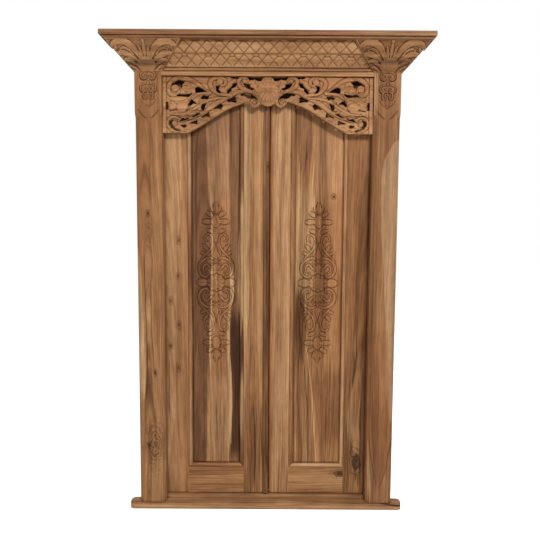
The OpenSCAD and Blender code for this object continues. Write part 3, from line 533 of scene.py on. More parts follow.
def medallion_relief(u, v):
    """Depth of the medallion's sunk carving, in mm, for u across from its axis and v up from its rosette."""
    line = smooth(MEDALLION_EDGE)
    top = MEDALLION_EDGE[0][1]
    # The outline runs on past the axis, so that the axis is no edge
    outline = np.vstack([line, (line * (1, -1))[-2::-1], [(-40, -top), (-40, top)]])
    r = Relief(np.abs(u), v)
    r.h -= MEDALLION_SUNK * ramp(-polygon_distance(r.u, v, outline), -5, 5)
    for up in (1, -1):
        r.v = v * up
        for foot, tip, width in MEDALLION_LEAVES:
            r.leaf(foot, tip, width, vein=MEDALLION_VEIN, **MEDALLION_FORM)
        for points, widths, veins in MEDALLION_BANDS:
            r.ribbon(points, widths, veins=veins, **MEDALLION_FORM)
        r.dome(0, 292, 19, 29, **MEDALLION_FORM)
        r.cut([(0, 272), (8, 282), (9, 300), (0, 314)], 4.0, 2.0)
    r.v = v
    # Side leaves and rosette
    r.leaf((34, 0), (96, 0), 38, vein=MEDALLION_VEIN, **MEDALLION_FORM)
    for angle in np.radians(range(-90, 91, 36)):
        r.dome(31 * math.cos(angle), 31 * math.sin(angle), 12, 12, **MEDALLION_FORM)
    for radius in (25, 13):
        r.dome(0, 0, radius, radius, **MEDALLION_FORM)
    return np.clip(r.h, *MEDALLION_LIMITS)


def make_panel(side):
    name = SIDES[side]
    (u0, u1), (z0, z1) = FIELD_SPANS
    fine = np.arange(MEDALLION_Z - MEDALLION_REACH, MEDALLION_Z + MEDALLION_REACH, MEDALLION_CELL)
    zs = np.concatenate([np.linspace(z0, fine[0] - PLAIN_GAP, PLAIN_ROWS), fine,
                         np.linspace(fine[-1] + PLAIN_GAP, z1, PLAIN_ROWS)])
    u, z = np.meshgrid(np.linspace(u0, u1, FIELD_COLUMNS), zs)
    fade = ramp(np.minimum(u - u0, u1 - u), 0, FIELD_FADE)
    depth = medallion_relief(u - (u0 + u1) / 2, z - MEDALLION_Z) * fade
    field = points_at(u.ravel(), (FIELD_Y - depth).ravel(), z.ravel())
    faces = [tuple(q) for q in grid_quads(*u.shape)]

    # Steps from the field down to the margin, the tongue and the back, as rings of four corners
    steps = [(FIELD_SPANS, MARGIN_Y), (OPEN_SPANS, MARGIN_Y), (OPEN_SPANS, TONGUE_Y[0]),
             (TONGUE_SPANS, TONGUE_Y[0]), (TONGUE_SPANS, TONGUE_Y[1]), (OPEN_SPANS, TONGUE_Y[1]),
             (OPEN_SPANS, PANEL_BACK)]
    rings = [[(a, y, c), (b, y, c), (b, y, d), (a, y, d)] for ((a, b), (c, d)), y in steps]
    verts = np.vstack([field] + rings)
    n = len(field)
    last = n + 4 * (len(rings) - 1)
    index = np.arange(n).reshape(u.shape)
    rim = [index[0, :], index[:, -1], index[-1, ::-1], index[::-1, 0]]
    for i in range(4):
        j = (i + 1) % 4
        faces.append(tuple(rim[i][::-1]) + (n + i, n + j))
        for a in range(n, last, 4):
            faces.append((a + j, a + 4 + j, a + 4 + i, a + i))
    faces.append((last + 3, last + 2, last + 1, last))
    relief = np.concatenate([depth.ravel(), np.zeros(4 * len(rings))])
    return mesh_piece(f"{name}_panel_carving", *for_side(side, verts, faces), f"{name}_leaf", "panel_teak",
                      f"{name}_panel", relief)


# Corner capitals

CAPITAL_HEAD = CAPITAL_BOX[1][0] - POST_MID
CAPITAL_FOOT = CAPITAL_HEAD - 100.0
CAPITAL_FRONT = ((CAPITAL_Z, POST_FRONT - 2), (CAPITAL_Z + 10, POST_FRONT - 12), (CAP_Z, CAPITAL_BOX[0][1]))
CAPITAL_HOUSING = 4.0
# Grid of a capital, and the share of each face that stays plain along its edges
CAPITAL_LEVELS = 56
CAPITAL_SIDE_COLUMNS = 44
CAPITAL_FRONT_COLUMNS = 120
CAPITAL_FADE = 0.06
# Length of the front's slope and size of the side on which the carving is drawn, in mm
CAPITAL_SLOPE = 135.0
CAPITAL_SIDE = (120.0, 112.0)
# How deep the ground lies on the front and the side, and the lowest and highest point of each carving, in mm
CAPITAL_SUNK, CAPITAL_LIMITS = 3.6, (-8.0, 4.5)
SIDE_SUNK, SIDE_LIMITS = 4.0, (-7.0, 2.0)
CAPITAL_FORM = {"height": 6.0, "edge": 3.0, "lift": -3.4}
CAPITAL_FORMS = [
    # Lower side leaves with curls
    ([(30, 40), (58, 58), (88, 74), (114, 74), (124, 60), (114, 52)], [12, 22, 26, 18, 11, 6], 3),
    ([(36, 22), (60, 38), (84, 48), (98, 40), (94, 31)], [10, 17, 17, 11, 6], 2),
    ([(42, 6), (58, 16), (72, 22), (80, 13), (73, 7)], [9, 12, 11, 8, 5], 1),
    # Big C-scroll and the leaf inside it
    ([(22, 52), (37, 82), (58, 107), (84, 120), (112, 121), (134, 109), (140, 95), (129, 87), (117, 94)],
     [13, 25, 30, 28, 23, 16, 11, 7], 4),
    ([(50, 68), (66, 86), (86, 95), (104, 91)], [8, 12, 12, 7], 2),
]
PALMETTE = [((12, 52), (37, 92), 12), ((8, 54), (24, 112), 13), ((0, 56), (0, 124), 17)]
PALMETTE_FORM = {"height": 6.0, "edge": 3.0, "lift": -3, "vein": 2.4}
# Bulge under the palmette: its middle, half width, half height and number of flutes round its foot
BULGE_V, BULGE_W, BULGE_H, BULGE_FLUTES = 28, 42, 32, 16
SIDE_SCROLLS = [
    ([(110, 30), (88, 62), (60, 88), (34, 94), (22, 80), (36, 70)], [8, 13, 14, 12, 9, 6], 5.5, 3, -2.5, 2),
    ([(112, 10), (84, 34), (56, 52), (34, 50), (32, 38)], [8, 10, 9, 6], 4.5, 2.5, -3, 1),
    ([(100, 6), (70, 16), (46, 24), (34, 14)], [6, 8, 6], 4, 2.5, -3.5, 1),
]


def capital_half(z):
    """Half a capital's width at a height."""
    return CAPITAL_FOOT + (CAPITAL_HEAD - CAPITAL_FOOT) * (z - CAPITAL_Z) / (CAP_Z - CAPITAL_Z)


def capital_front(z):
    """Depth of a capital's front at a height."""
    return float(np.interp(z, *zip(*CAPITAL_FRONT)))


def capital_front_relief(a, t):
    """Carving of a capital's front in mm, for a across its axis in mm and t from its foot to its head."""
    v = t * CAPITAL_SLOPE
    r = Relief(np.abs(a), v)
    r.h -= CAPITAL_SUNK
    for points, widths, veins in CAPITAL_FORMS:
        r.ribbon(points, widths, veins=veins, **CAPITAL_FORM)
    # Eye of the big scroll, and the leaf in the upper corner
    r.dome(122, 97, 7, 7, 4.5, 2.4, -2)
    r.leaf((146, 100), (163, 132), 17, 5, 2, -3, 2)
    # Palmette over a bulge with flutes that run together at its foot
    for foot, tip, width in PALMETTE:
        r.leaf(foot, tip, width, **PALMETTE_FORM)
    r.dome(0, 124, 9, 8, 5, 2.4, -2)
    r.dome(0, BULGE_V, BULGE_W, BULGE_H, 7.5, 3.0, -2.6)
    bulge = np.hypot(a / BULGE_W, (v - BULGE_V) / BULGE_H)
    flutes = np.cos(BULGE_FLUTES * np.arctan2(np.abs(a), v + 14))
    r.h = np.where(bulge < 0.94, r.h - 2.6 * np.clip(flutes, 0, 1) * (1 - 0.4 * bulge), r.h)
    return np.clip(r.h, *CAPITAL_LIMITS)


def capital_side_relief(b, t):
    """Carving of a capital's side in mm, for b from its front edge to the wall and t from foot to head."""
    r = Relief(b * CAPITAL_SIDE[0], t * CAPITAL_SIDE[1])
    r.h -= SIDE_SUNK
    for scroll in SIDE_SCROLLS:
        r.ribbon(*scroll)
    r.leaf((118, 60), (84, 108), 22, 5, 2.5, -2.5, 2)
    return np.clip(r.h, *SIDE_LIMITS)


def make_capital(side):
    name = SIDES[side]
    loops = []
    relief = []
    for t in np.linspace(0, 1, CAPITAL_LEVELS):
        z = CAPITAL_Z + t * (CAP_Z - CAPITAL_Z)
        half = capital_half(z)
        front = capital_front(z)
        fade = ramp(min(t, 1 - t), 0, CAPITAL_FADE)
        # Outer side from the wall to the front edge, front to the inner edge, inner side to the post, and back
        b = np.linspace(1, 0, CAPITAL_SIDE_COLUMNS)
        side_h = capital_side_relief(b, t) * ramp(np.minimum(b, 1 - b), 0, CAPITAL_FADE) * fade
        outer = points_at(POST_MID + half + side_h, front + b * (WALL_Y - front), z)
        a = np.linspace(1, -1, CAPITAL_FRONT_COLUMNS + 2)[1:-1]
        front_h = capital_front_relief(a * half, t) * ramp(1 - np.abs(a), 0, CAPITAL_FADE) * fade
        face = points_at(POST_MID + a * half, front - front_h, z)
        b = np.linspace(0, 1, CAPITAL_SIDE_COLUMNS)
        inner = points_at(POST_MID - half, front + b * (POST_FRONT - front), z)
        back = points_at(FRAME_HALF - CAPITAL_HOUSING, np.array([POST_FRONT, WALL_Y]), z)
        loops.append(np.vstack([outer, face, inner, back]))
        relief.append(np.concatenate([side_h, front_h, np.zeros(len(inner) + len(back))]))
    verts, faces = loft(loops)
    faces = [f[::-1] for f in faces]
    return mesh_piece(f"{name}_capital_carving", *for_side(side, verts, faces), "frame", "carved_teak",
                      f"{name}_capital", np.concatenate(relief))


# Friezes with a diamond lattice

# How far each board's foot stands back from the capitals' front
FRIEZE_SETBACK = {"lower_frieze": 16.0, "upper_frieze": 10.0}
FRIEZE_GAP = 0.3
FRIEZE_LEVELS = 40
FRIEZE_COLUMNS = 640
# What stays plain: at the ends in mm, and at the foot and head as a share of the height
FRIEZE_END, FRIEZE_EDGE = 4.0, 0.03
# Width of a diamond, how far it bulges and over what run, and the depth and half width of the cuts between
LATTICE_W = 53.0
DIAMOND_RISE, DIAMOND_RUN = 0.9, 13.0
LATTICE_CUT, LATTICE_CUT_W = 3.2, 3.6
# Half width, height and depth or rise of the scallops, the lobes between them and the feet of the diamonds
SCALLOP = (24.0, 11.0, -4.0)
LOBE = (14.0, 13.0, 1.6)
LATTICE_FOOT = (13.0, 8.0, 2.2)
LOBE_CUT = 3.4


def frieze_half(z):
    """Half a frieze's width at a height, between the capitals."""
    return POST_MID - capital_half(z) - FRIEZE_GAP


def nearest(x, spacing, start=0.0):
    """Distance from x to the nearest of the points that follow each other at a spacing."""
    return np.abs((x - start + spacing / 2) % spacing - spacing / 2)


def frieze_relief(x, t, tier, high):
    """Carving of a frieze in mm, for x across and t from its foot to its head, on a face so high."""
    w = LATTICE_W
    square_on = high / math.hypot(w, high)
    gap = np.minimum(nearest(x - t * w, w), nearest(x + t * w, w)) * square_on
    h = DIAMOND_RISE * ramp(gap, 0, DIAMOND_RUN) - LATTICE_CUT * np.clip(1 - gap / LATTICE_CUT_W, 0, 1)
    if tier == "upper_frieze":
        scallop = np.hypot(nearest(x, 2 * w) / SCALLOP[0], (1 - t) * high / SCALLOP[1])
        return np.where(scallop < 1, SCALLOP[2] * domed(scallop), h)
    lobe = np.hypot(nearest(x, 2 * w, w) / LOBE[0], (1 - t) * high / LOBE[1])
    h = np.where(lobe < 1, LOBE[2] * domed(lobe), h)
    h -= LOBE_CUT * np.clip(1 - np.abs(lobe - 1.05) / 0.2, 0, 1)
    foot = np.hypot(nearest(x, w) / LATTICE_FOOT[0], t * high / LATTICE_FOOT[1])
    return np.where(foot < 1, LATTICE_FOOT[2] * domed(foot), h)


def make_frieze(name):
    low, high = node_box(name)
    z0, z1 = low[2], high[2]
    y0, y1 = capital_front(z0) + FRIEZE_SETBACK[name], low[1]
    loops = []
    relief = []
    for t in np.linspace(0, 1, FRIEZE_LEVELS):
        z = z0 + t * (z1 - z0)
        half = frieze_half(z)
        x = np.linspace(-half, half, FRIEZE_COLUMNS)
        fade = ramp(half - np.abs(x), 0, FRIEZE_END) * ramp(min(t, 1 - t), 0, FRIEZE_EDGE)
        h = frieze_relief(x, t, name, math.hypot(y1 - y0, z1 - z0)) * fade
        face = points_at(x, y0 + t * (y1 - y0) - h, z)
        back = points_at(np.array([half, -half]), POST_FRONT, z)
        loops.append(np.vstack([face, back]))
        relief.append(np.concatenate([h, np.zeros(len(back))]))
    return mesh_piece(f"{name}_carving", *loft(loops), "frame", "carved_teak", name, np.concatenate(relief))


# Posts with stop chamfers and a carved pendant at the top

POST_CHAMFER = 14.0
POST_EASE = 1.5
CHAMFER_TOP = 1850.0
# Where a chamfer starts and ends to run out, from its top
CHAMFER_STOP = (-2.0, 28.0)
REBATE_X = OPEN_HALF + 10.0
STOP_Y = LEAF_FRONT - 1.0
# Middle heights of the hinges, half the height of a plate's housing, and the housing's depth and width
HINGE_Z = (250.0, 1040.0, 1830.0)
HINGE_HALF = 50.2
PLATE_DEEP, PLATE_WIDE = 2.7, 32.2
# Height from which a post is cut back to house its capital
HOUSING_Z = CAPITAL_Z + 5.0
POST_LEVELS = (400.0, 800.0, 1200.0, 1600.0)
PENDANT_LEVELS = 128
POST_COLUMNS = 76
# How deep the pendant's ground lies, the lowest and highest point of its carving, and its plain edge, in mm
PENDANT_SUNK, PENDANT_LIMITS, PENDANT_EDGE = 2.4, (-6.0, 2.0), 3.0
SHIELD = [(37, -6), (36, 60), (38, 100), (35, 126), (24, 142), (10, 154), (0, 161)]
CURL_FORM = {"height": 4.4, "edge": 2.8, "lift": -PENDANT_SUNK}
BUD_FORM = {"height": 4.0, "edge": 2.4, "lift": -2.2, "vein": 1.6}
# Cut along the shield's foot and the one under it: width and depth
SHIELD_CUT = (7.5, 5.2)


def pendant_relief(a, z):
    """Carving on a post's top in mm, for a across its axis."""
    r = Relief(np.abs(a), CAPITAL_Z - z)
    # The outline runs on past the axis, so that the axis is no edge
    outline = np.vstack([smooth(SHIELD), [(-9, SHIELD[-1][1]), (-9, SHIELD[0][1])]])
    r.h -= PENDANT_SUNK * ramp(-polygon_distance(r.u, r.v, outline), 0, 6)
    for row, reach, low in [(22, 31, 40), (78, 33, 96), (110, 22, 123)]:
        r.ribbon([(3, row - 20), (16, row - 22), (reach, row - 12), (reach, row + 4), (18, row + 12),
                  (8, row + 4), (10, row - 5), (17, row - 4)], [5, 8, 8, 7, 4], **CURL_FORM)
        r.cut([(reach + 5, row - 16), (reach + 4, row + 8), (20, low), (3, low - 5)], 6.5, 4.4, True)
    for foot, tip, width in [((0, 40), (0, 62), 12), ((0, 92), (0, 106), 10), ((0, 122), (0, 152), 20)]:
        r.leaf(foot, tip, width, **BUD_FORM)
    r.cut(SHIELD[3:], *SHIELD_CUT)
    r.cut([(45, 172), (36, 186), (18, 204), (0, 214)], *SHIELD_CUT)
    return np.clip(r.h, *PENDANT_LIMITS)


def post_levels():
    """Heights at which a post's section is drawn."""
    zs = [TREAD_Z, *POST_LEVELS, CHAMFER_TOP - 4]
    for z in HINGE_Z:
        for end in (z - HINGE_HALF, z + HINGE_HALF):
            zs += [end - HAIR, end + HAIR]
    zs += list(np.linspace(CHAMFER_TOP, HOUSING_Z - 1, PENDANT_LEVELS))
    zs += [HOUSING_Z + 1, CAP_Z]
    return sorted(zs)


def make_post(side):
    name = SIDES[side]
    loops = []
    relief = []
    a = np.linspace(-1, 1, POST_COLUMNS)
    chamfer_from, chamfer_to = CHAMFER_TOP + CHAMFER_STOP[0], CHAMFER_TOP + CHAMFER_STOP[1]
    for z in post_levels():
        c = POST_CHAMFER * (1 - ramp(z, chamfer_from, chamfer_to)) + POST_EASE
        x0, x1 = OPEN_HALF + c, FRAME_HALF - c
        x = x0 + (a + 1) / 2 * (x1 - x0)
        h = np.zeros(len(a))
        if z > CHAMFER_TOP:
            h = pendant_relief(x - POST_MID, z) * ramp(np.minimum(x - x0, x1 - x), 0, PENDANT_EDGE)
        hinged = any(abs(z - middle) < HINGE_HALF for middle in HINGE_Z)
        inner = REBATE_X + PLATE_DEEP if hinged else REBATE_X
        outer = FRAME_HALF - CAPITAL_HOUSING if z > HOUSING_Z else FRAME_HALF
        plate_y = BACK_Y - PLATE_WIDE
        # Round the post from its outer chamfer by the wall, the back and the rebate to its inner chamfer
        rest = np.array([
            (outer, POST_FRONT + c, z), (outer, WALL_Y, z), (FRAME_HALF, WALL_Y + HAIR, z),
            (FRAME_HALF, BACK_Y, z), (inner, BACK_Y, z), (inner, plate_y, z), (REBATE_X, plate_y - HAIR, z),
            (REBATE_X, STOP_Y, z), (OPEN_HALF, STOP_Y, z), (OPEN_HALF, POST_FRONT + c, z)])
        loops.append(np.vstack([points_at(x, POST_FRONT - h, z), rest]))
        relief.append(np.concatenate([h, np.zeros(len(rest))]))
    return mesh_piece(f"{name}_post_carving", *for_side(side, *loft(loops)), "frame", "frame_teak",
                      f"{name}_post", np.concatenate(relief))


# Dark strip on the meeting edge, painted shade in the leaves' gap

# How far the strip reaches in from the leaf's back, in mm
SHADE_STRIP_DEEP = 3.0


def make_meeting_shade_strip():
    """Dark strip on the left leaf's meeting edge, painted shade that closes the leaves' gap but for a hair."""
    low, high = node_box("left_meeting_stile")
    x0, x1 = high[0], node_box("right_meeting_stile")[0][0] - HAIR
    y0, y1 = high[1] - SHADE_STRIP_DEEP, high[1]
    loops = [np.array([(x0, y0, z), (x1, y0, z), (x1, y1, z), (x0, y1, z)]) for z in (low[2], high[2])]
    return mesh_piece("meeting_shade_strip", *loft(loops), "left_leaf", "leaf_teak")


# Materials

def linear(colour):
    """Scene colour of an sRGB triplet from 0 to 255."""
    return tuple((c / 255 / 12.92) if c <= 10 else ((c / 255 + 0.055) / 1.055) ** 2.4 for c in colour)


class Graph:
    """Short calls for building the nodes of a material or a world."""

    def __init__(self, owner):
        owner.use_nodes = True
        self.owner = owner
        self.tree = owner.node_tree
        self.shader = self.tree.nodes.get("Principled BSDF")

    def put(self, socket, value):
        if isinstance(value, bpy.types.NodeSocket):
            self.tree.links.new(value, socket)
        elif socket.type == "RGBA" and len(value) == 3:
            socket.default_value = (*value, 1.0)
        else:
            socket.default_value = value

    def node(self, kind, inputs=(), **settings):
        n = self.tree.nodes.new(kind)
        for key, value in settings.items():
            setattr(n, key, value)
        for key, value in dict(inputs).items():
            self.put(n.inputs[key], value)
        return n

    def math(self, op, a, b=0.0, clamp=False):
        return self.node("ShaderNodeMath", {0: a, 1: b}, operation=op, use_clamp=clamp).outputs[0]

    def total(self, *terms):
        """Sum of terms, each a value or a pair of a value and its weight."""
        values = [self.math("MULTIPLY", *t) if isinstance(t, tuple) else t for t in terms]
        result = values[0]
        for value in values[1:]:
            result = self.math("ADD", result, value)
        return result

    def product(self, *factors):
        result = factors[0]
        for factor in factors[1:]:
            result = self.math("MULTIPLY", result, factor)
        return result

    def far(self, a, b):
        """Length of the long side of a right triangle."""
        return self.math("SQRT", self.total(self.math("POWER", a, 2.0), self.math("POWER", b, 2.0)))

    def mix(self, fac, a, b, how="MIX"):
        n = self.node("ShaderNodeMix", data_type="RGBA", blend_type=how)
        self.put(n.inputs[0], fac)
        self.put(n.inputs[6], a)
        self.put(n.inputs[7], b)
        return n.outputs[2]

    def tinted(self, fac, colour, tint):
        """Colour that takes a tint as far as fac says."""
        return self.mix(fac, colour, self.mix(1.0, colour, tint, "MULTIPLY"))

    def remap(self, value, low, high, to_low=0.0, to_high=1.0, how="SMOOTHSTEP"):
        return self.node("ShaderNodeMapRange", {0: value, 1: low, 2: high, 3: to_low, 4: to_high},
                         interpolation_type=how).outputs[0]

    def noise(self, vector, scale, detail=2.0, rough=0.55):
        return self.node("ShaderNodeTexNoise", {"Vector": vector, "Scale": scale, "Detail": detail,
                                                "Roughness": rough}).outputs[0]

    def swing(self, vector, scale, reach, detail=2.0):
        """Noise about zero, reach metres to each side at the most."""
        return self.math("MULTIPLY", self.math("SUBTRACT", self.noise(vector, scale, detail), 0.5), 2 * reach)

    def vector(self, x, y, z):
        return self.node("ShaderNodeCombineXYZ", {0: x, 1: y, 2: z}).outputs[0]

    def colours(self, value, stops):
        n = self.node("ShaderNodeValToRGB", {0: value})
        bar = n.color_ramp
        while len(bar.elements) < len(stops):
            bar.elements.new(0.5)
        for e, (at, colour) in zip(bar.elements, stops):
            e.position = at
            e.color = (*colour, 1.0)
        return n.outputs[0]

    def edge(self, along, points):
        """Across value, in metres, of a line through points (across, along) in mm."""
        points = sorted(points, key=lambda p: p[1])
        low, high = points[0][1], max(points[-1][1], points[0][1] + 1)
        left = min(p[0] for p in points)
        span = max(max(p[0] for p in points) - left, 1.0)
        n = self.node("ShaderNodeFloatCurve", {1: self.remap(along, low * MM, high * MM, how="LINEAR")})
        curve = n.mapping.curves[0]
        while len(curve.points) < len(points):
            curve.points.new(0.5, 0.5)
        for point, (across, up) in zip(curve.points, points):
            point.location = ((up - low) / (high - low), (across - left) / span)
        n.mapping.update()
        return self.remap(n.outputs[0], 0.0, 1.0, left * MM, (left + span) * MM, "LINEAR")


# Teak tones, dark, middle and light, as sRGB
TEAK = {
    "golden": ((92, 56, 32), (154, 109, 71), (192, 149, 104)),
    "brown": ((76, 46, 27), (139, 96, 62), (178, 134, 92)),
    "tan": ((116, 76, 46), (171, 128, 89), (202, 162, 118)),
    "red": ((74, 44, 27), (141, 94, 61), (174, 127, 88)),
    "dark": ((58, 35, 23), (124, 84, 55), (158, 116, 80)),
    "pale": ((132, 92, 58), (174, 132, 92), (206, 167, 124)),
    # Carved is the carved pieces' own tone with painted light in it: lighter, for faces that slope down from
    # the lamps
    "carved": ((106, 70, 43), (170, 125, 86), (200, 159, 114)),
    # Darkest teak, painted shade for parts behind the valance and in the leaves' gap
    "painted_shade": ((34, 21, 14), (62, 41, 28), (84, 60, 43)),
}
SAPWOOD = linear((188, 150, 108))
DULL_SAPWOOD = linear((167, 131, 96))
GOLD = linear((160, 117, 80))
DARK_STREAK = linear((62, 38, 22))
CHOCOLATE = linear((92, 56, 33))
KNOT_BROWN = linear((92, 56, 34))
PURPLE_BROWN = linear((101, 66, 44))
WARM_BROWN = linear((138, 92, 57))
# Painted shade, warmed by light bounced in the leaves' gap, for the right meeting stile's edge
GAP_SHADE_ORANGE = linear((164, 106, 62))
PINK_BROWN = linear((144, 104, 75))
# Dark brown of painted shade behind the valance, and of dirt with painted shade at the capitals' feet
SHADE_AND_DIRT_BROWN = linear((58, 38, 26))
# What the wood's colour is multiplied by in fine streaks, pores, the ground of carving (dirt and painted shade)
# and tight corners (painted shade)
STREAK_TINT = (0.52, 0.44, 0.38)
PORE_TINT = (0.50, 0.43, 0.37)
DIRT_AND_SHADE_TINT = (0.36, 0.27, 0.20)
CORNER_SHADE_TINT = (0.30, 0.22, 0.16)
# Streaks of the grain: scale of their noise, how far it is drawn out, its detail and its weight in the tone
GRAIN = {"broad": (20.0, 0.04, 1.0, 0.9), "lines": (130.0, 0.02, 2.0, 0.7), "fine": (300.0, 0.02, 2.0, 0.7)}
# Noise that bends the grain, shakes the features' edges and frays their ends: scale, reach in metres and detail
BEND_SCALE, RIPPLE, SHAKE, FRAY = 4.0, (17.0, 0.0015), (20.0, 0.005, 4.0), (260.0, 0.16, 1.0)
# Short streaks, patches and pores: scale of their noise, how far it is drawn out, and its detail
SHORT_STREAKS, PATCHES, PORES = (120.0, 0.014, 3.0), (34.0, 0.4, 4.0), (1100.0, 0.025, 1.0)
# How strong short streaks and pores are at the most, and how near a wall a corner's painted shade reaches, in
# metres
STREAK_STRENGTH, PORE_STRENGTH, CORNER_SHADE_REACH = 0.48, 0.42, 0.016
# How far seeds and seams move the grain on, and the pixel row at which a seam is measured
SEED_STEP, SEAM_STEP, SEAM_ROW = 3.17, 1.71, 290
# How far a feature's end runs out past its last point and fades in before it, in mm
END_OUT, END_IN = 20, 60
# Half the height over which a tint above a level comes in, in mm
ROW_SOFT = 1.5


class Board:
    """One board's place in a material: across and along its grain, and what its features read."""

    def __init__(self, g, along, seed, seams, wave, slant, plane_y):
        self.g = g
        self.level = along == "x"
        self.plane_y = plane_y
        place = g.node("ShaderNodeSeparateXYZ", {0: g.node("ShaderNodeTexCoord").outputs["Object"]})
        x, self.deep, self.up = place.outputs
        self.run, self.cross = (x, self.up) if self.level else (self.up, x)
        # Each seam moves the grain on, so that boards glued side by side don't share it
        self.shift = seed * SEED_STEP
        for column in seams:
            at = self.mm((column, SEAM_ROW))[0]
            self.shift = g.total(self.shift, (g.math("GREATER_THAN", self.cross, at * MM), SEAM_STEP))
        low = g.vector(g.total(self.cross, self.shift), self.deep, g.math("MULTIPLY", self.run, 0.45))
        self.bend = g.total(g.swing(low, BEND_SCALE, wave), g.swing(low, *RIPPLE))
        fast = g.vector(self.cross, self.shift, g.math("MULTIPLY", self.run, 0.35))
        self.shaken = g.total(self.cross, g.swing(fast, *SHAKE))
        if slant:
            self.shaken = g.total(self.shaken, (self.deep, slant), -slant * POST_FRONT * MM)
        self.ragged = g.total(self.run, g.swing(g.vector(self.cross, self.shift, 0.0), *FRAY))

    def mm(self, pixel):
        """Place of a pixel on the board's face in mm, across and along the grain."""
        x, z = spot(*pixel, self.plane_y)
        return (z, x) if self.level else (x, z)

    def grain(self, radius, scale, stretch, detail=2.0):
        """Noise drawn out along the grain."""
        g = self.g
        place = g.vector(g.total(radius, self.shift), 0.37, g.math("MULTIPLY", self.run, stretch))
        return g.noise(place, scale, detail, 0.6)

    def spots(self, deep, scale, stretch, detail):
        """Noise on the board's own place, drawn out along the grain."""
        g = self.g
        return g.noise(g.vector(self.cross, deep, g.math("MULTIPLY", self.run, stretch)), scale, detail)

    def beside(self, line):
        """How far across from a line of pixels each point lies, in metres."""
        return self.g.math("SUBTRACT", self.shaken, self.g.edge(self.run, [self.mm(p) for p in line]))

    def within(self, *lines):
        """One along the length that all the lines share, with ragged ends."""
        runs = [[self.mm(p)[1] for p in line] for line in lines]
        low = max(min(run) for run in runs)
        high = min(max(run) for run in runs)
        start = self.g.remap(self.ragged, (low - END_OUT) * MM, (low + END_IN) * MM)
        end = self.g.remap(self.ragged, (high - END_IN) * MM, (high + END_OUT) * MM, 1.0, 0.0)
        return self.g.math("MULTIPLY", start, end)


# Masks of the features, which take their lines and places as pixels and other sizes in mm

def side_mask(b, line, soft, strength=1.0, right=True):
    """Everything to one side of a line."""
    ends = (0.0, strength) if right else (strength, 0.0)
    return b.g.remap(b.beside(line), -soft * MM, soft * MM, *ends)


def band_mask(b, left, right, soft, strength=1.0):
    """Between two lines, within the length that they share."""
    low = b.g.remap(b.beside(left), -soft * MM, soft * MM)
    high = b.g.remap(b.beside(right), -soft * MM, soft * MM, 1.0, 0.0)
    return b.g.product(low, high, b.within(left, right), strength)


def streak_mask(b, line, width, strength=1.0):
    """Thin streak along a line."""
    gap = b.g.math("ABSOLUTE", b.beside(line))
    return b.g.product(b.g.remap(gap, 0.0, width * MM / 2, 1.0, 0.0), b.within(line), strength)


def knot_mask(b, pixel, size, strength=0.8, rings=16.0, core=1.0):
    """Knot, or burl where its core is weak: dark middle with uneven rings round it."""
    g = b.g
    across, along = b.mm(pixel)
    du = g.math("DIVIDE", g.math("SUBTRACT", b.shaken, across * MM), size[0] * MM)
    dv = g.math("DIVIDE", g.math("SUBTRACT", b.run, along * MM), size[1] * MM)
    r = g.total(g.far(du, dv), g.swing(g.vector(b.cross, b.shift, b.run), 24.0, 0.4, 3.0))
    wave = g.math("MULTIPLY", g.math("ADD", g.math("SINE", g.math("MULTIPLY", r, rings)), 1.0), 0.35)
    body = g.math("ADD", g.remap(r, 0.1, 0.4, core, 0.1 * core), wave, True)
    return g.product(g.remap(r, 0.2, 1.0, 1.0, 0.0), body, strength)


def front_mask(b, depth, level, strength=1.0):
    """Everything in front of a depth and above a level, both in mm."""
    return b.g.math("MULTIPLY", b.g.remap(b.deep, (depth - 1) * MM, (depth + 1) * MM, strength, 0.0),
                    b.g.remap(b.up, (level - 8) * MM, (level + 8) * MM))


FEATURE_MASKS = {
    "side": side_mask, "band": band_mask, "streak": streak_mask, "knot": knot_mask, "front": front_mask,
}


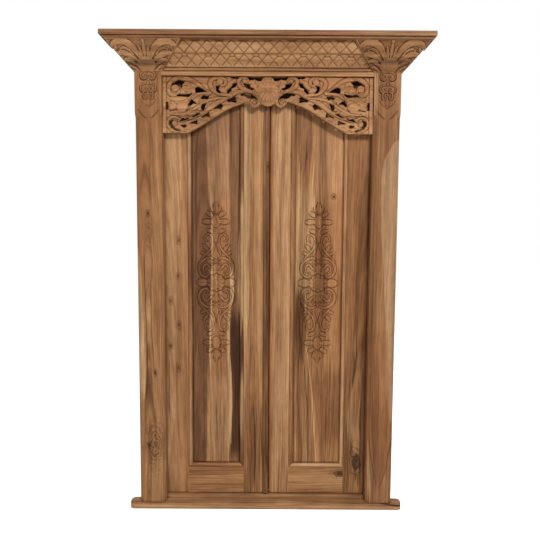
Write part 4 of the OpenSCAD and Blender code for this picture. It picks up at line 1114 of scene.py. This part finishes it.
def teak(name, palette, along="z", seed=0.0, heart=(0.0, 90.0, 20.0), features=(), relief=None, seams=(),
         contrast=1.0, rows=(), wave=0.02, dirt_and_shade=0.85, slant=0.0, plane_y=LEAF_FRONT):
    """Teak: streaks that follow the growth rings of a log, pores, and the features that one board has.

    heart is where the log's middle lies: across and behind the board in mm, and how far it leans in a metre.
    relief is the pair of heights between which the dirt and painted shade of hollows thin out, and seams are
    pixel columns where boards meet.
    rows are heights in mm above which the wood takes a tint, and wave is how far the grain bends in metres.
    dirty is how much dirt and painted shade lie in cuts, and how much painted shade in corners, and slant is
    how far features shift sideways with depth on a post's sides. plane_y is the depth in mm of the face on
    which the features' pixels lie.
    """
    g = Graph(bpy.data.materials.new(name))
    b = Board(g, along, seed, seams, wave, slant, plane_y)
    dark, mid, light = [linear(c) for c in TEAK[palette]]
    aside = g.total(b.cross, b.bend, -heart[0] * MM)
    behind = g.total(b.deep, heart[1] * MM, (b.run, heart[2] * MM))
    radius = g.far(aside, behind)
    grain = {kind: b.grain(radius, *setting[:3]) for kind, setting in GRAIN.items()}
    weights = {kind: contrast * setting[3] for kind, setting in GRAIN.items()}
    tone = g.total(0.5 - 0.5 * sum(weights.values()), *[(grain[kind], weights[kind]) for kind in GRAIN])
    colour = g.colours(tone, [(0.2, dark), (0.5, mid), (0.8, light)])
    shade = g.remap(tone, 0.1, 0.9, 0.52, 1.48)
    for kind, paint, *setting in features:
        mask = FEATURE_MASKS[kind](b, *setting)
        colour = g.mix(mask, colour, g.mix(1.0, paint, shade, "MULTIPLY"))
    streaks = g.remap(b.grain(radius, *SHORT_STREAKS), 0.59, 0.67, 0.0, STREAK_STRENGTH * contrast)
    colour = g.tinted(streaks, colour, STREAK_TINT)
    patches = b.spots(b.shift, *PATCHES)
    colour = g.mix(1.0, colour, g.remap(patches, 0.3, 0.7, 0.92, 1.08), "MULTIPLY")
    for level, tint in rows:
        above = g.remap(b.up, (level - ROW_SOFT) * MM, (level + ROW_SOFT) * MM)
        colour = g.tinted(above, colour, tint)
    pores = b.spots(b.deep, *PORES)
    colour = g.tinted(g.remap(pores, 0.56, 0.72, 0.0, PORE_STRENGTH), colour, PORE_TINT)
    if relief:
        height = g.node("ShaderNodeAttribute", attribute_name="relief").outputs["Fac"]
        # Dirt and painted shade in the carving's hollows, the darker the deeper they lie
        colour = g.tinted(g.remap(height, *relief, dirt_and_shade, 0.0), colour, DIRT_AND_SHADE_TINT)
    # Painted shade in corners and narrow gaps, by how much of the space round each point is open
    open_to_air = g.node("ShaderNodeAmbientOcclusion", {"Distance": CORNER_SHADE_REACH}, samples=8).outputs["AO"]
    colour = g.tinted(g.remap(open_to_air, 0.25, 0.92, dirt_and_shade, 0.0), colour, CORNER_SHADE_TINT)
    bump = g.node("ShaderNodeBump", {"Height": g.total((grain["fine"], 0.7), (pores, -0.3)), "Strength": 0.4,
                                     "Distance": 0.0012})
    g.put(g.shader.inputs["Base Color"], colour)
    g.put(g.shader.inputs["Roughness"], g.remap(tone, 0.2, 0.8, 0.68, 0.54))
    g.put(g.shader.inputs["Normal"], bump.outputs[0])
    g.shader.inputs["Specular IOR Level"].default_value = 0.1
    return g.owner


def steel(name):
    g = Graph(bpy.data.materials.new(name))
    place = g.node("ShaderNodeTexCoord").outputs["Object"]
    stain = g.noise(place, 90.0, 3.0)
    greys = g.colours(stain, [(0.35, (0.30, 0.28, 0.26)), (0.65, (0.46, 0.44, 0.42))])
    g.put(g.shader.inputs["Base Color"], greys)
    g.put(g.shader.inputs["Roughness"], g.remap(g.noise(place, 700.0, 3.0), 0.3, 0.7, 0.32, 0.5))
    g.shader.inputs["Metallic"].default_value = 1.0
    return g.owner


def coat(thing, material):
    thing.data.materials.clear()
    thing.data.materials.append(material)


# Features of single boards, in the order in which they are laid over each other, with places in pixels

LEFT_PANEL = [
    ("side", PURPLE_BROWN, [(206, 120), (207, 160), (210, 200), (212, 300), (209.5, 380), (207, 470)], 1.5, 0.9,
     False),
    ("band", WARM_BROWN, [(209, 195), (212, 240), (212, 300)], [(230, 195), (230, 300)], 3, 0.5),
    ("band", PINK_BROWN, [(207, 95), (207, 150), (209, 205)], [(229, 95), (229, 150), (230, 205)], 2, 0.75),
    ("band", SAPWOOD, [(211, 380), (211, 480)], [(229, 380), (229, 480)], 2, 0.3),
    ("side", PURPLE_BROWN, [(229, 95), (229, 160), (230, 230), (230, 280), (229, 330), (229, 470)], 1.2, 0.65),
    ("band", DARK_STREAK,
     [(231, 312), (230, 325), (230, 360), (232.5, 385), (233, 405), (230.5, 425), (229, 460)],
     [(238, 312), (243, 325), (243, 360), (240, 385), (239, 405), (239.5, 425), (242, 460)], 1.0, 0.85),
    ("streak", DARK_STREAK, [(235, 318), (237, 345), (236, 380), (235, 455)], 22, 0.5),
    ("streak", DARK_STREAK, [(240, 120), (239, 190), (238, 240), (239.5, 290)], 9, 0.8),
    ("band", SAPWOOD, [(243, 185), (241, 204), (241, 223), (238.5, 240), (238, 290), (239, 307), (243, 327)],
     [(250, 185), (250, 327)], 1.0, 0.75),
    ("band", SAPWOOD, [(210.7, 200), (210.8, 260), (209.8, 320), (208.6, 372)],
     [(212.3, 200), (212.8, 260), (211.8, 320), (210.4, 372)], 0.8, 0.9),
    ("band", SAPWOOD, [(207.5, 372), (207, 420), (206, 480)], [(209, 372), (209.5, 420), (210, 480)], 3, 0.35),
    ("band", SAPWOOD, [(229, 265), (229.8, 290), (228.5, 310), (227.5, 345), (228.5, 385), (228.5, 450)],
     [(230.5, 265), (234, 290), (230.5, 310), (230, 345), (232, 385), (230.5, 450)], 0.8, 0.8),
    ("band", SAPWOOD, [(184, 300), (185, 330), (184, 400)], [(189, 300), (192.5, 330), (192, 400)], 1.0, 0.7),
    ("streak", DARK_STREAK, [(198.5, 335), (199, 350), (200, 364)], 10, 0.9),
    ("streak", DARK_STREAK, [(196, 150), (196, 220), (195, 310)], 16, 0.6),
    ("streak", DARK_STREAK, [(203, 330), (204, 380), (203, 460)], 7, 0.6),
]
RIGHT_PANEL = [
    ("streak", CHOCOLATE, [(298, 150), (300.5, 164), (303, 177)], 7, 0.9),
    ("streak", CHOCOLATE, [(309, 145), (306, 162), (303, 177)], 7, 0.9),
    ("streak", CHOCOLATE, [(297, 172), (300, 184), (302.5, 196)], 6, 0.7),
    ("streak", CHOCOLATE, [(309, 172), (306, 184), (302.5, 196)], 6, 0.7),
    ("band", PURPLE_BROWN, [(296, 95), (298, 140), (302, 180)], [(313, 95), (310, 140), (304, 180)], 3, 0.5),
    ("side", WARM_BROWN, [(315, 110), (315, 200), (313, 300), (313, 400), (312, 470)], 1.2, 0.5),
    ("band", GOLD, [(315, 95), (315, 205)], [(343, 95), (343, 205)], 2, 0.65),
    ("band", WARM_BROWN, [(315, 190), (315, 345)], [(345, 190), (345, 345)], 3, 0.5),
    ("band", CHOCOLATE, [(314, 370), (315, 400), (318, 450)], [(340, 370), (340, 450)], 8, 0.4),
    ("band", SAPWOOD, [(292, 182), (292, 240), (297, 300)], [(315, 182), (315, 240), (310, 300)], 1.5, 0.4),
    ("band", CHOCOLATE, [(296, 345), (296, 470)],
     [(305, 345), (309, 380), (312, 420), (315, 470)], 2.0, 0.25),
    ("band", CHOCOLATE, [(297.5, 288), (295, 320), (295, 335), (296, 366)],
     [(298.5, 288), (306, 320), (306, 335), (303, 366)], 1.2, 0.75),
    ("streak", DARK_STREAK, [(298, 306), (300, 330), (301.5, 358)], 14, 0.8),
    ("streak", SAPWOOD, [(305, 340), (309, 368), (313, 410), (316, 475)], 8, 0.8),
    ("streak", DARK_STREAK, [(302, 350), (306, 390), (308, 430), (307, 470)], 8, 0.8),
    ("streak", CHOCOLATE, [(311, 370), (315, 400), (319, 430)], 6, 0.7),
    ("streak", CHOCOLATE, [(316, 365), (320, 395), (322, 425)], 6, 0.6),
    ("band", SAPWOOD, [(344, 215), (343, 260), (342.5, 310), (341.5, 360), (342, 390)],
     [(346.5, 215), (346, 260), (345.5, 310), (345, 360), (346, 390)], 0.8, 0.85),
    ("knot", DARK_STREAK, (334, 197), (24, 30), 0.95),
    ("streak", CHOCOLATE, [(329, 350), (330, 400), (328, 450)], 12, 0.5),
]
LEFT_POST = [
    ("side", WARM_BROWN, [(143, 70), (145, 160), (145, 230), (143, 300)], 3, 0.6, False),
    ("band", WARM_BROWN, [(146, 105), (146, 205)], [(163, 105), (163, 205)], 4, 0.3),
    ("band", SAPWOOD, [(128, 215), (128, 405)],
     [(137, 215), (140, 260), (144, 330), (146, 370), (141, 405)], 1.5, 0.6),
    ("knot", DARK_STREAK, (148, 213), (18, 30), 0.95),
    ("knot", CHOCOLATE, (149, 236), (40, 120), 0.6, 30.0, 0.3),
    ("knot", DARK_STREAK, (156, 445), (80, 190), 0.9, 40.0, 0.1),
    ("knot", DARK_STREAK, (149, 445), (16, 34), 0.95),
    ("knot", DARK_STREAK, (155.5, 373), (14, 40), 0.95),
    ("streak", DARK_STREAK, [(144.5, 255), (145, 300), (147, 340), (147.5, 375), (145, 400)], 8, 0.9),
    ("streak", DARK_STREAK, [(152, 260), (151, 310), (153, 350), (155, 380)], 6, 0.85),
    ("streak", CHOCOLATE, [(150, 120), (150, 205)], 6, 0.7),
]
RIGHT_POST = [
    ("side", DULL_SAPWOOD, [(402, 137), (390, 150), (383, 168), (381, 200), (384, 280), (386, 350), (386, 380),
                            (391, 426), (404, 440), (404, 500)], 1.5, 0.75),
    ("band", WARM_BROWN, [(366, 330), (366, 480)], [(388, 330), (391, 480)], 3, 0.6),
    ("streak", CHOCOLATE, [(392, 425), (388, 455), (379, 490)], 9, 0.9),
    ("streak", CHOCOLATE, [(368, 430), (371, 460), (377, 490)], 9, 0.8),
    ("band", CHOCOLATE, [(371, 400), (372, 450), (377, 492)], [(388, 400), (386, 450), (379, 492)], 4, 0.4),
    ("band", SAPWOOD, [(366, 440), (366, 500)], [(367.5, 440), (369.5, 470), (371, 500)], 1, 0.6),
    ("band", SAPWOOD, [(374, 68), (374, 118)], [(377.5, 68), (377.5, 118)], 1, 0.5),
]
# Dark streak across each capital's foot, where its flutes run together over the post: dirt in the flutes and
# painted shade under the capital
CAPITAL_FEATURES = {
    "left": [("streak", SHADE_AND_DIRT_BROWN, [(124, 63), (170, 63)], 40, 0.6)],
    "right": [("streak", SHADE_AND_DIRT_BROWN, [(366, 63), (412, 63)], 40, 0.6)],
}
# Painted shade on the leaves' fronts behind the valance, which the valance's holes show dark
SHADE_BEHIND_VALANCE = ("front", SHADE_AND_DIRT_BROWN, LEAF_FRONT + 12.0, spot(250, 99, LEAF_FRONT)[1], 0.95)
BOARD_FEATURES = {
    "astragal": [
        ("side", SAPWOOD, [(265, 100), (264.5, 180), (263, 300), (262, 490)], 1, 0.6, False),
        ("knot", DARK_STREAK, (268, 167), (18, 44), 0.9),
        ("streak", CHOCOLATE, [(268, 165), (267, 220), (267, 270), (265, 335)], 16, 0.65),
        ("streak", DARK_STREAK, [(266, 400), (265.5, 430), (266, 465)], 18, 0.45),
    ],
    "left_top_rail": [SHADE_BEHIND_VALANCE],
    "right_top_rail": [SHADE_BEHIND_VALANCE],
    "right_bead_meeting_side": [SHADE_BEHIND_VALANCE],
    "left_bead_meeting_side": [
        SHADE_BEHIND_VALANCE,
        ("band", SAPWOOD, [(230, 190), (230, 325)], [(260, 190), (260, 325)], 1, 0.6),
        ("band", DARK_STREAK, [(230, 322), (230, 372)], [(260, 322), (260, 372)], 1, 0.7),
        ("band", SAPWOOD, [(230, 372), (230, 430)], [(260, 372), (260, 430)], 1, 0.6),
    ],
    "left_bead_hinge_side": [
        ("band", CHOCOLATE, [(180, 235), (180, 292)], [(200, 235), (200, 292)], 1, 0.6),
        ("band", SAPWOOD, [(180, 120), (180, 200)], [(200, 120), (200, 200)], 1, 0.6),
    ],
    "left_hinge_stile": [
        ("side", WARM_BROWN,
         [(181, 120), (181, 200), (178, 260), (177, 330), (176, 400), (171, 445), (166, 490)], 2, 0.6),
        ("knot", KNOT_BROWN, (179, 240), (20, 40), 0.9),
        ("knot", KNOT_BROWN, (178, 276), (20, 40), 0.9),
        ("knot", KNOT_BROWN, (171, 300), (16, 40), 0.8),
        ("knot", KNOT_BROWN, (179, 325), (20, 40), 0.9),
        ("knot", KNOT_BROWN, (171, 346), (20, 30), 0.95),
        ("knot", KNOT_BROWN, (179, 368), (20, 44), 0.9),
        ("streak", DARK_STREAK, [(170, 360), (169, 390), (171, 420)], 10, 0.7),
    ],
    "left_meeting_stile": [
        SHADE_BEHIND_VALANCE,
        ("side", SAPWOOD, [(251, 120), (249.5, 250), (249, 300), (246, 345), (245, 400), (243, 450)], 2, 0.6,
         False),
        ("band", CHOCOLATE, [(250, 395), (250, 430), (248, 492)], [(258, 395), (260, 430), (260, 492)], 3, 0.3),
        ("streak", DARK_STREAK, [(254, 408), (255, 450), (253, 488)], 18, 0.9),
        ("streak", DARK_STREAK, [(261, 405), (261, 430), (262, 465)], 12, 0.8),
    ],
    "right_meeting_stile": [
        SHADE_BEHIND_VALANCE,
        # Painted shade, warmed by bounced light, along the edge by the leaves' gap
        ("side", GAP_SHADE_ORANGE, [(273, 90), (272.5, 300), (271.5, 490)], 1.5, 0.85, False),
        ("streak", CHOCOLATE, [(286, 175), (286, 190), (287, 200)], 6, 0.6),
        ("streak", CHOCOLATE, [(290.5, 140), (290.5, 280), (290, 300)], 6, 0.6),
    ],
    "right_hinge_stile": [
        ("band", WARM_BROWN, [(347, 120), (347, 330)], [(369, 120), (366, 330)], 3, 0.6),
        ("side", CHOCOLATE, [(370, 120), (368, 290), (364, 340), (361, 380), (358, 490)], 5, 0.6),
        ("streak", DARK_STREAK, [(357, 346), (355, 366), (352, 390)], 24, 0.9),
        ("streak", DARK_STREAK, [(361, 395), (360, 440), (360, 490)], 20, 0.7),
        ("band", SAPWOOD, [(347, 395), (347, 420), (349, 446)], [(352, 395), (354, 420), (354, 446)], 4, 0.4),
        ("knot", DARK_STREAK, (356, 461), (64, 120), 0.95, 26.0),
        ("streak", DARK_STREAK, [(354, 462), (356, 475), (358, 484)], 34, 0.8),
    ],
    "right_bottom_rail": [("knot", DARK_STREAK, (339, 474), (34, 80), 0.9, 22.0)],
    "threshold": [("streak", DARK_STREAK, [(370, 501), (385, 504), (398, 506), (425, 508)], 16, 0.95)],
}
# Boards whose features lie on another face than the leaves' front
FEATURE_PLANES = {node: node_box(node)[0][1] for node in ("astragal", "threshold")}

# Palette, direction of the grain and seed of each board
BOARDS = {
    "head_beam": ("brown", "x", 21),
    # The head stop, seen only through the valance's holes, takes the darkest teak as painted shade
    "head_stop": ("painted_shade", "x", 22),
    "cornice_cap": ("dark", "x", 23),
    "threshold": ("tan", "x", 24),
    "astragal": ("dark", "z", 25),
    "left_hinge_stile": ("tan", "z", 26),
    "left_meeting_stile": ("golden", "z", 27),
    "right_meeting_stile": ("tan", "z", 28),
    "right_hinge_stile": ("golden", "z", 29),
    "left_bead_hinge_side": ("golden", "z", 32),
    "right_bead_hinge_side": ("tan", "z", 32),
    "left_bead_meeting_side": ("brown", "z", 33),
    "right_bead_meeting_side": ("golden", "z", 33),
    "left_bead_bottom": ("red", "x", 35),
    "right_bead_bottom": ("pale", "x", 35),
}
for side_name in SIDES.values():
    BOARDS[f"{side_name}_top_rail"] = ("brown", "x", 30)
    BOARDS[f"{side_name}_bottom_rail"] = ("golden", "x", 31)
    # The top beads, behind the valance, take the darkest teak as painted shade
    BOARDS[f"{side_name}_bead_top"] = ("painted_shade", "x", 34)

# Each post's heart, features and contrast
POSTS = {"left": ((-560, 70, 25), LEFT_POST, 0.85), "right": ((720, 90, 25), RIGHT_POST, 0.6)}
# Each panel's heart, features, seams and wave
PANELS = {
    "left": ((-300, 80, 15), LEFT_PANEL, (211, 229.5), 0.012),
    "right": ((480, 90, 25), RIGHT_PANEL, (315,), 0.014),
}
CAPITAL_PALETTES = {"left": "carved", "right": "brown"}
CAPITAL_FACE_Y = POST_FRONT - 14
# Tints of the valance's boards above each glue line, and the cap's painted shadow on the friezes' tops under it
GLUE_TINTS = ((0.86, 0.80, 0.76), (1.06, 1.05, 1.04))
CAP_SHADOW = (CAP_Z - 9.0, (0.62, 0.56, 0.50))


def dress_frame():
    glue_levels = [HEAD_Z - row * VALANCE_DROP / SQUARES[1] for row in GLUE_ROWS]
    coat(make_valance(), teak("valance_teak", "carved", "x", 1, (1950, 140, 0), relief=(0.1, 0.62),
                              rows=list(zip(glue_levels, GLUE_TINTS)), contrast=0.7, dirt_and_shade=0.7))
    for side, name in SIDES.items():
        coat(make_capital(side), teak(
            f"{name}_capital_teak", CAPITAL_PALETTES[name], "x", 2 + side, (2100, 160, 0),
            CAPITAL_FEATURES[name], (-4.6, 0.4), contrast=0.7, dirt_and_shade=0.55, plane_y=CAPITAL_FACE_Y))
        heart, features, contrast = POSTS[name]
        coat(make_post(side), teak(
            f"{name}_post_teak", "brown", "z", 8 + side, heart, features, (-6.4, -2.6), contrast=contrast,
            dirt_and_shade=0.45, slant=-0.8 * side, plane_y=POST_FRONT))
    for name in FRIEZE_SETBACK:
        # The friezes take the cap's painted shadow along their tops
        coat(make_frieze(name), teak(f"{name}_teak", "carved", "x", 12, (2100, 160, 0), relief=(-3.2, 0.2),
                                     contrast=0.7, dirt_and_shade=0.65, rows=[CAP_SHADOW]))


def dress_leaves():
    # The meeting strip takes the darkest teak, painted shade in the gap between the leaves
    coat(make_meeting_shade_strip(), teak("shade_strip_teak", "painted_shade", "z", 40))
    for side, name in SIDES.items():
        heart, features, seams, wave = PANELS[name]
        coat(make_panel(side), teak(
            f"{name}_panel_teak", "golden", "z", 5 + side, heart, features, (-4.6, -1.2), seams, wave=wave,
            dirt_and_shade=0.46))
    for node, (palette, along, seed) in BOARDS.items():
        low, high = node_box(node)
        middle = (low + high)[0 if along == "z" else 2] / 2
        heart = (middle + 130 * math.sin(seed * 2.4), 70, 25 * math.cos(seed * 1.7))
        coat(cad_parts[node], teak(
            f"{node}_teak", palette, along, seed, heart, BOARD_FEATURES.get(node, ()), contrast=0.85,
            wave=0.006, plane_y=FEATURE_PLANES.get(node, LEAF_FRONT)))


def dress_hinges():
    metal = steel("hinge_steel")
    for node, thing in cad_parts.items():
        if "_hinge_" in node and "stile" not in node and "bead" not in node:
            coat(thing, metal)


# Stage, light and camera

FLOOR_REACH = 14.0
FLOOR_GLOW = 0.72


def make_floor():
    mesh = bpy.data.meshes.new("floor")
    far = FLOOR_REACH
    mesh.from_pydata([(-far, -far, 0), (far, -far, 0), (far, far, 0), (-far, far, 0)], [], [(0, 1, 2, 3)])
    floor = add_object("floor", mesh)
    g = Graph(bpy.data.materials.new("floor_pale"))
    g.shader.inputs["Base Color"].default_value = (0.86, 0.86, 0.85, 1.0)
    g.shader.inputs["Roughness"].default_value = 0.9
    path = g.node("ShaderNodeLightPath")
    glow = g.node("ShaderNodeEmission", {1: g.math("MULTIPLY", path.outputs["Is Camera Ray"], FLOOR_GLOW)})
    both = g.node("ShaderNodeAddShader", {0: g.shader.outputs[0], 1: glow.outputs[0]})
    g.put(g.tree.nodes["Material Output"].inputs[0], both.outputs[0])
    mesh.materials.append(g.owner)


def area_light(name, at, target, size, power):
    data = bpy.data.lights.new(name, "AREA")
    data.shape = "RECTANGLE"
    data.size = size
    data.size_y = size
    data.energy = power
    lamp = add_object(name, data)
    aim = Vector(target) - Vector(at)
    lamp.matrix_world = Matrix.Translation(at) @ aim.to_track_quat("-Z", "Y").to_matrix().to_4x4()


def make_world(ambient):
    """Even light of a given level, seen as white by the camera and in reflections."""
    world = bpy.data.worlds.new("studio")
    bpy.context.scene.world = world
    g = Graph(world)
    back = g.tree.nodes["Background"]
    back.inputs[0].default_value = (1.0, 1.0, 1.0, 1.0)
    path = g.node("ShaderNodeLightPath").outputs
    seen = path["Is Camera Ray"]
    for ray in ("Is Glossy Ray", "Is Transmission Ray"):
        seen = g.math("MAXIMUM", seen, path[ray])
    g.put(back.inputs[1], g.remap(seen, 0.0, 1.0, ambient, 1.0, "LINEAR"))


def make_camera():
    data = bpy.data.cameras.new("camera")
    data.sensor_width = SENSOR_MM
    data.lens = FOCAL_PX / FRAME_PX * SENSOR_MM
    data.shift_x = CENTRE_SHIFT_PX / FRAME_PX
    camera = add_object("camera", data)
    camera.matrix_world = camera_matrix()
    bpy.context.scene.camera = camera


dress_frame()
dress_leaves()
dress_hinges()
make_floor()
make_world(AMBIENT)
for lamp_name, setting in LAMPS.items():
    area_light(lamp_name, *setting)
make_camera()
bpy.context.scene.view_settings.view_transform = "Standard"
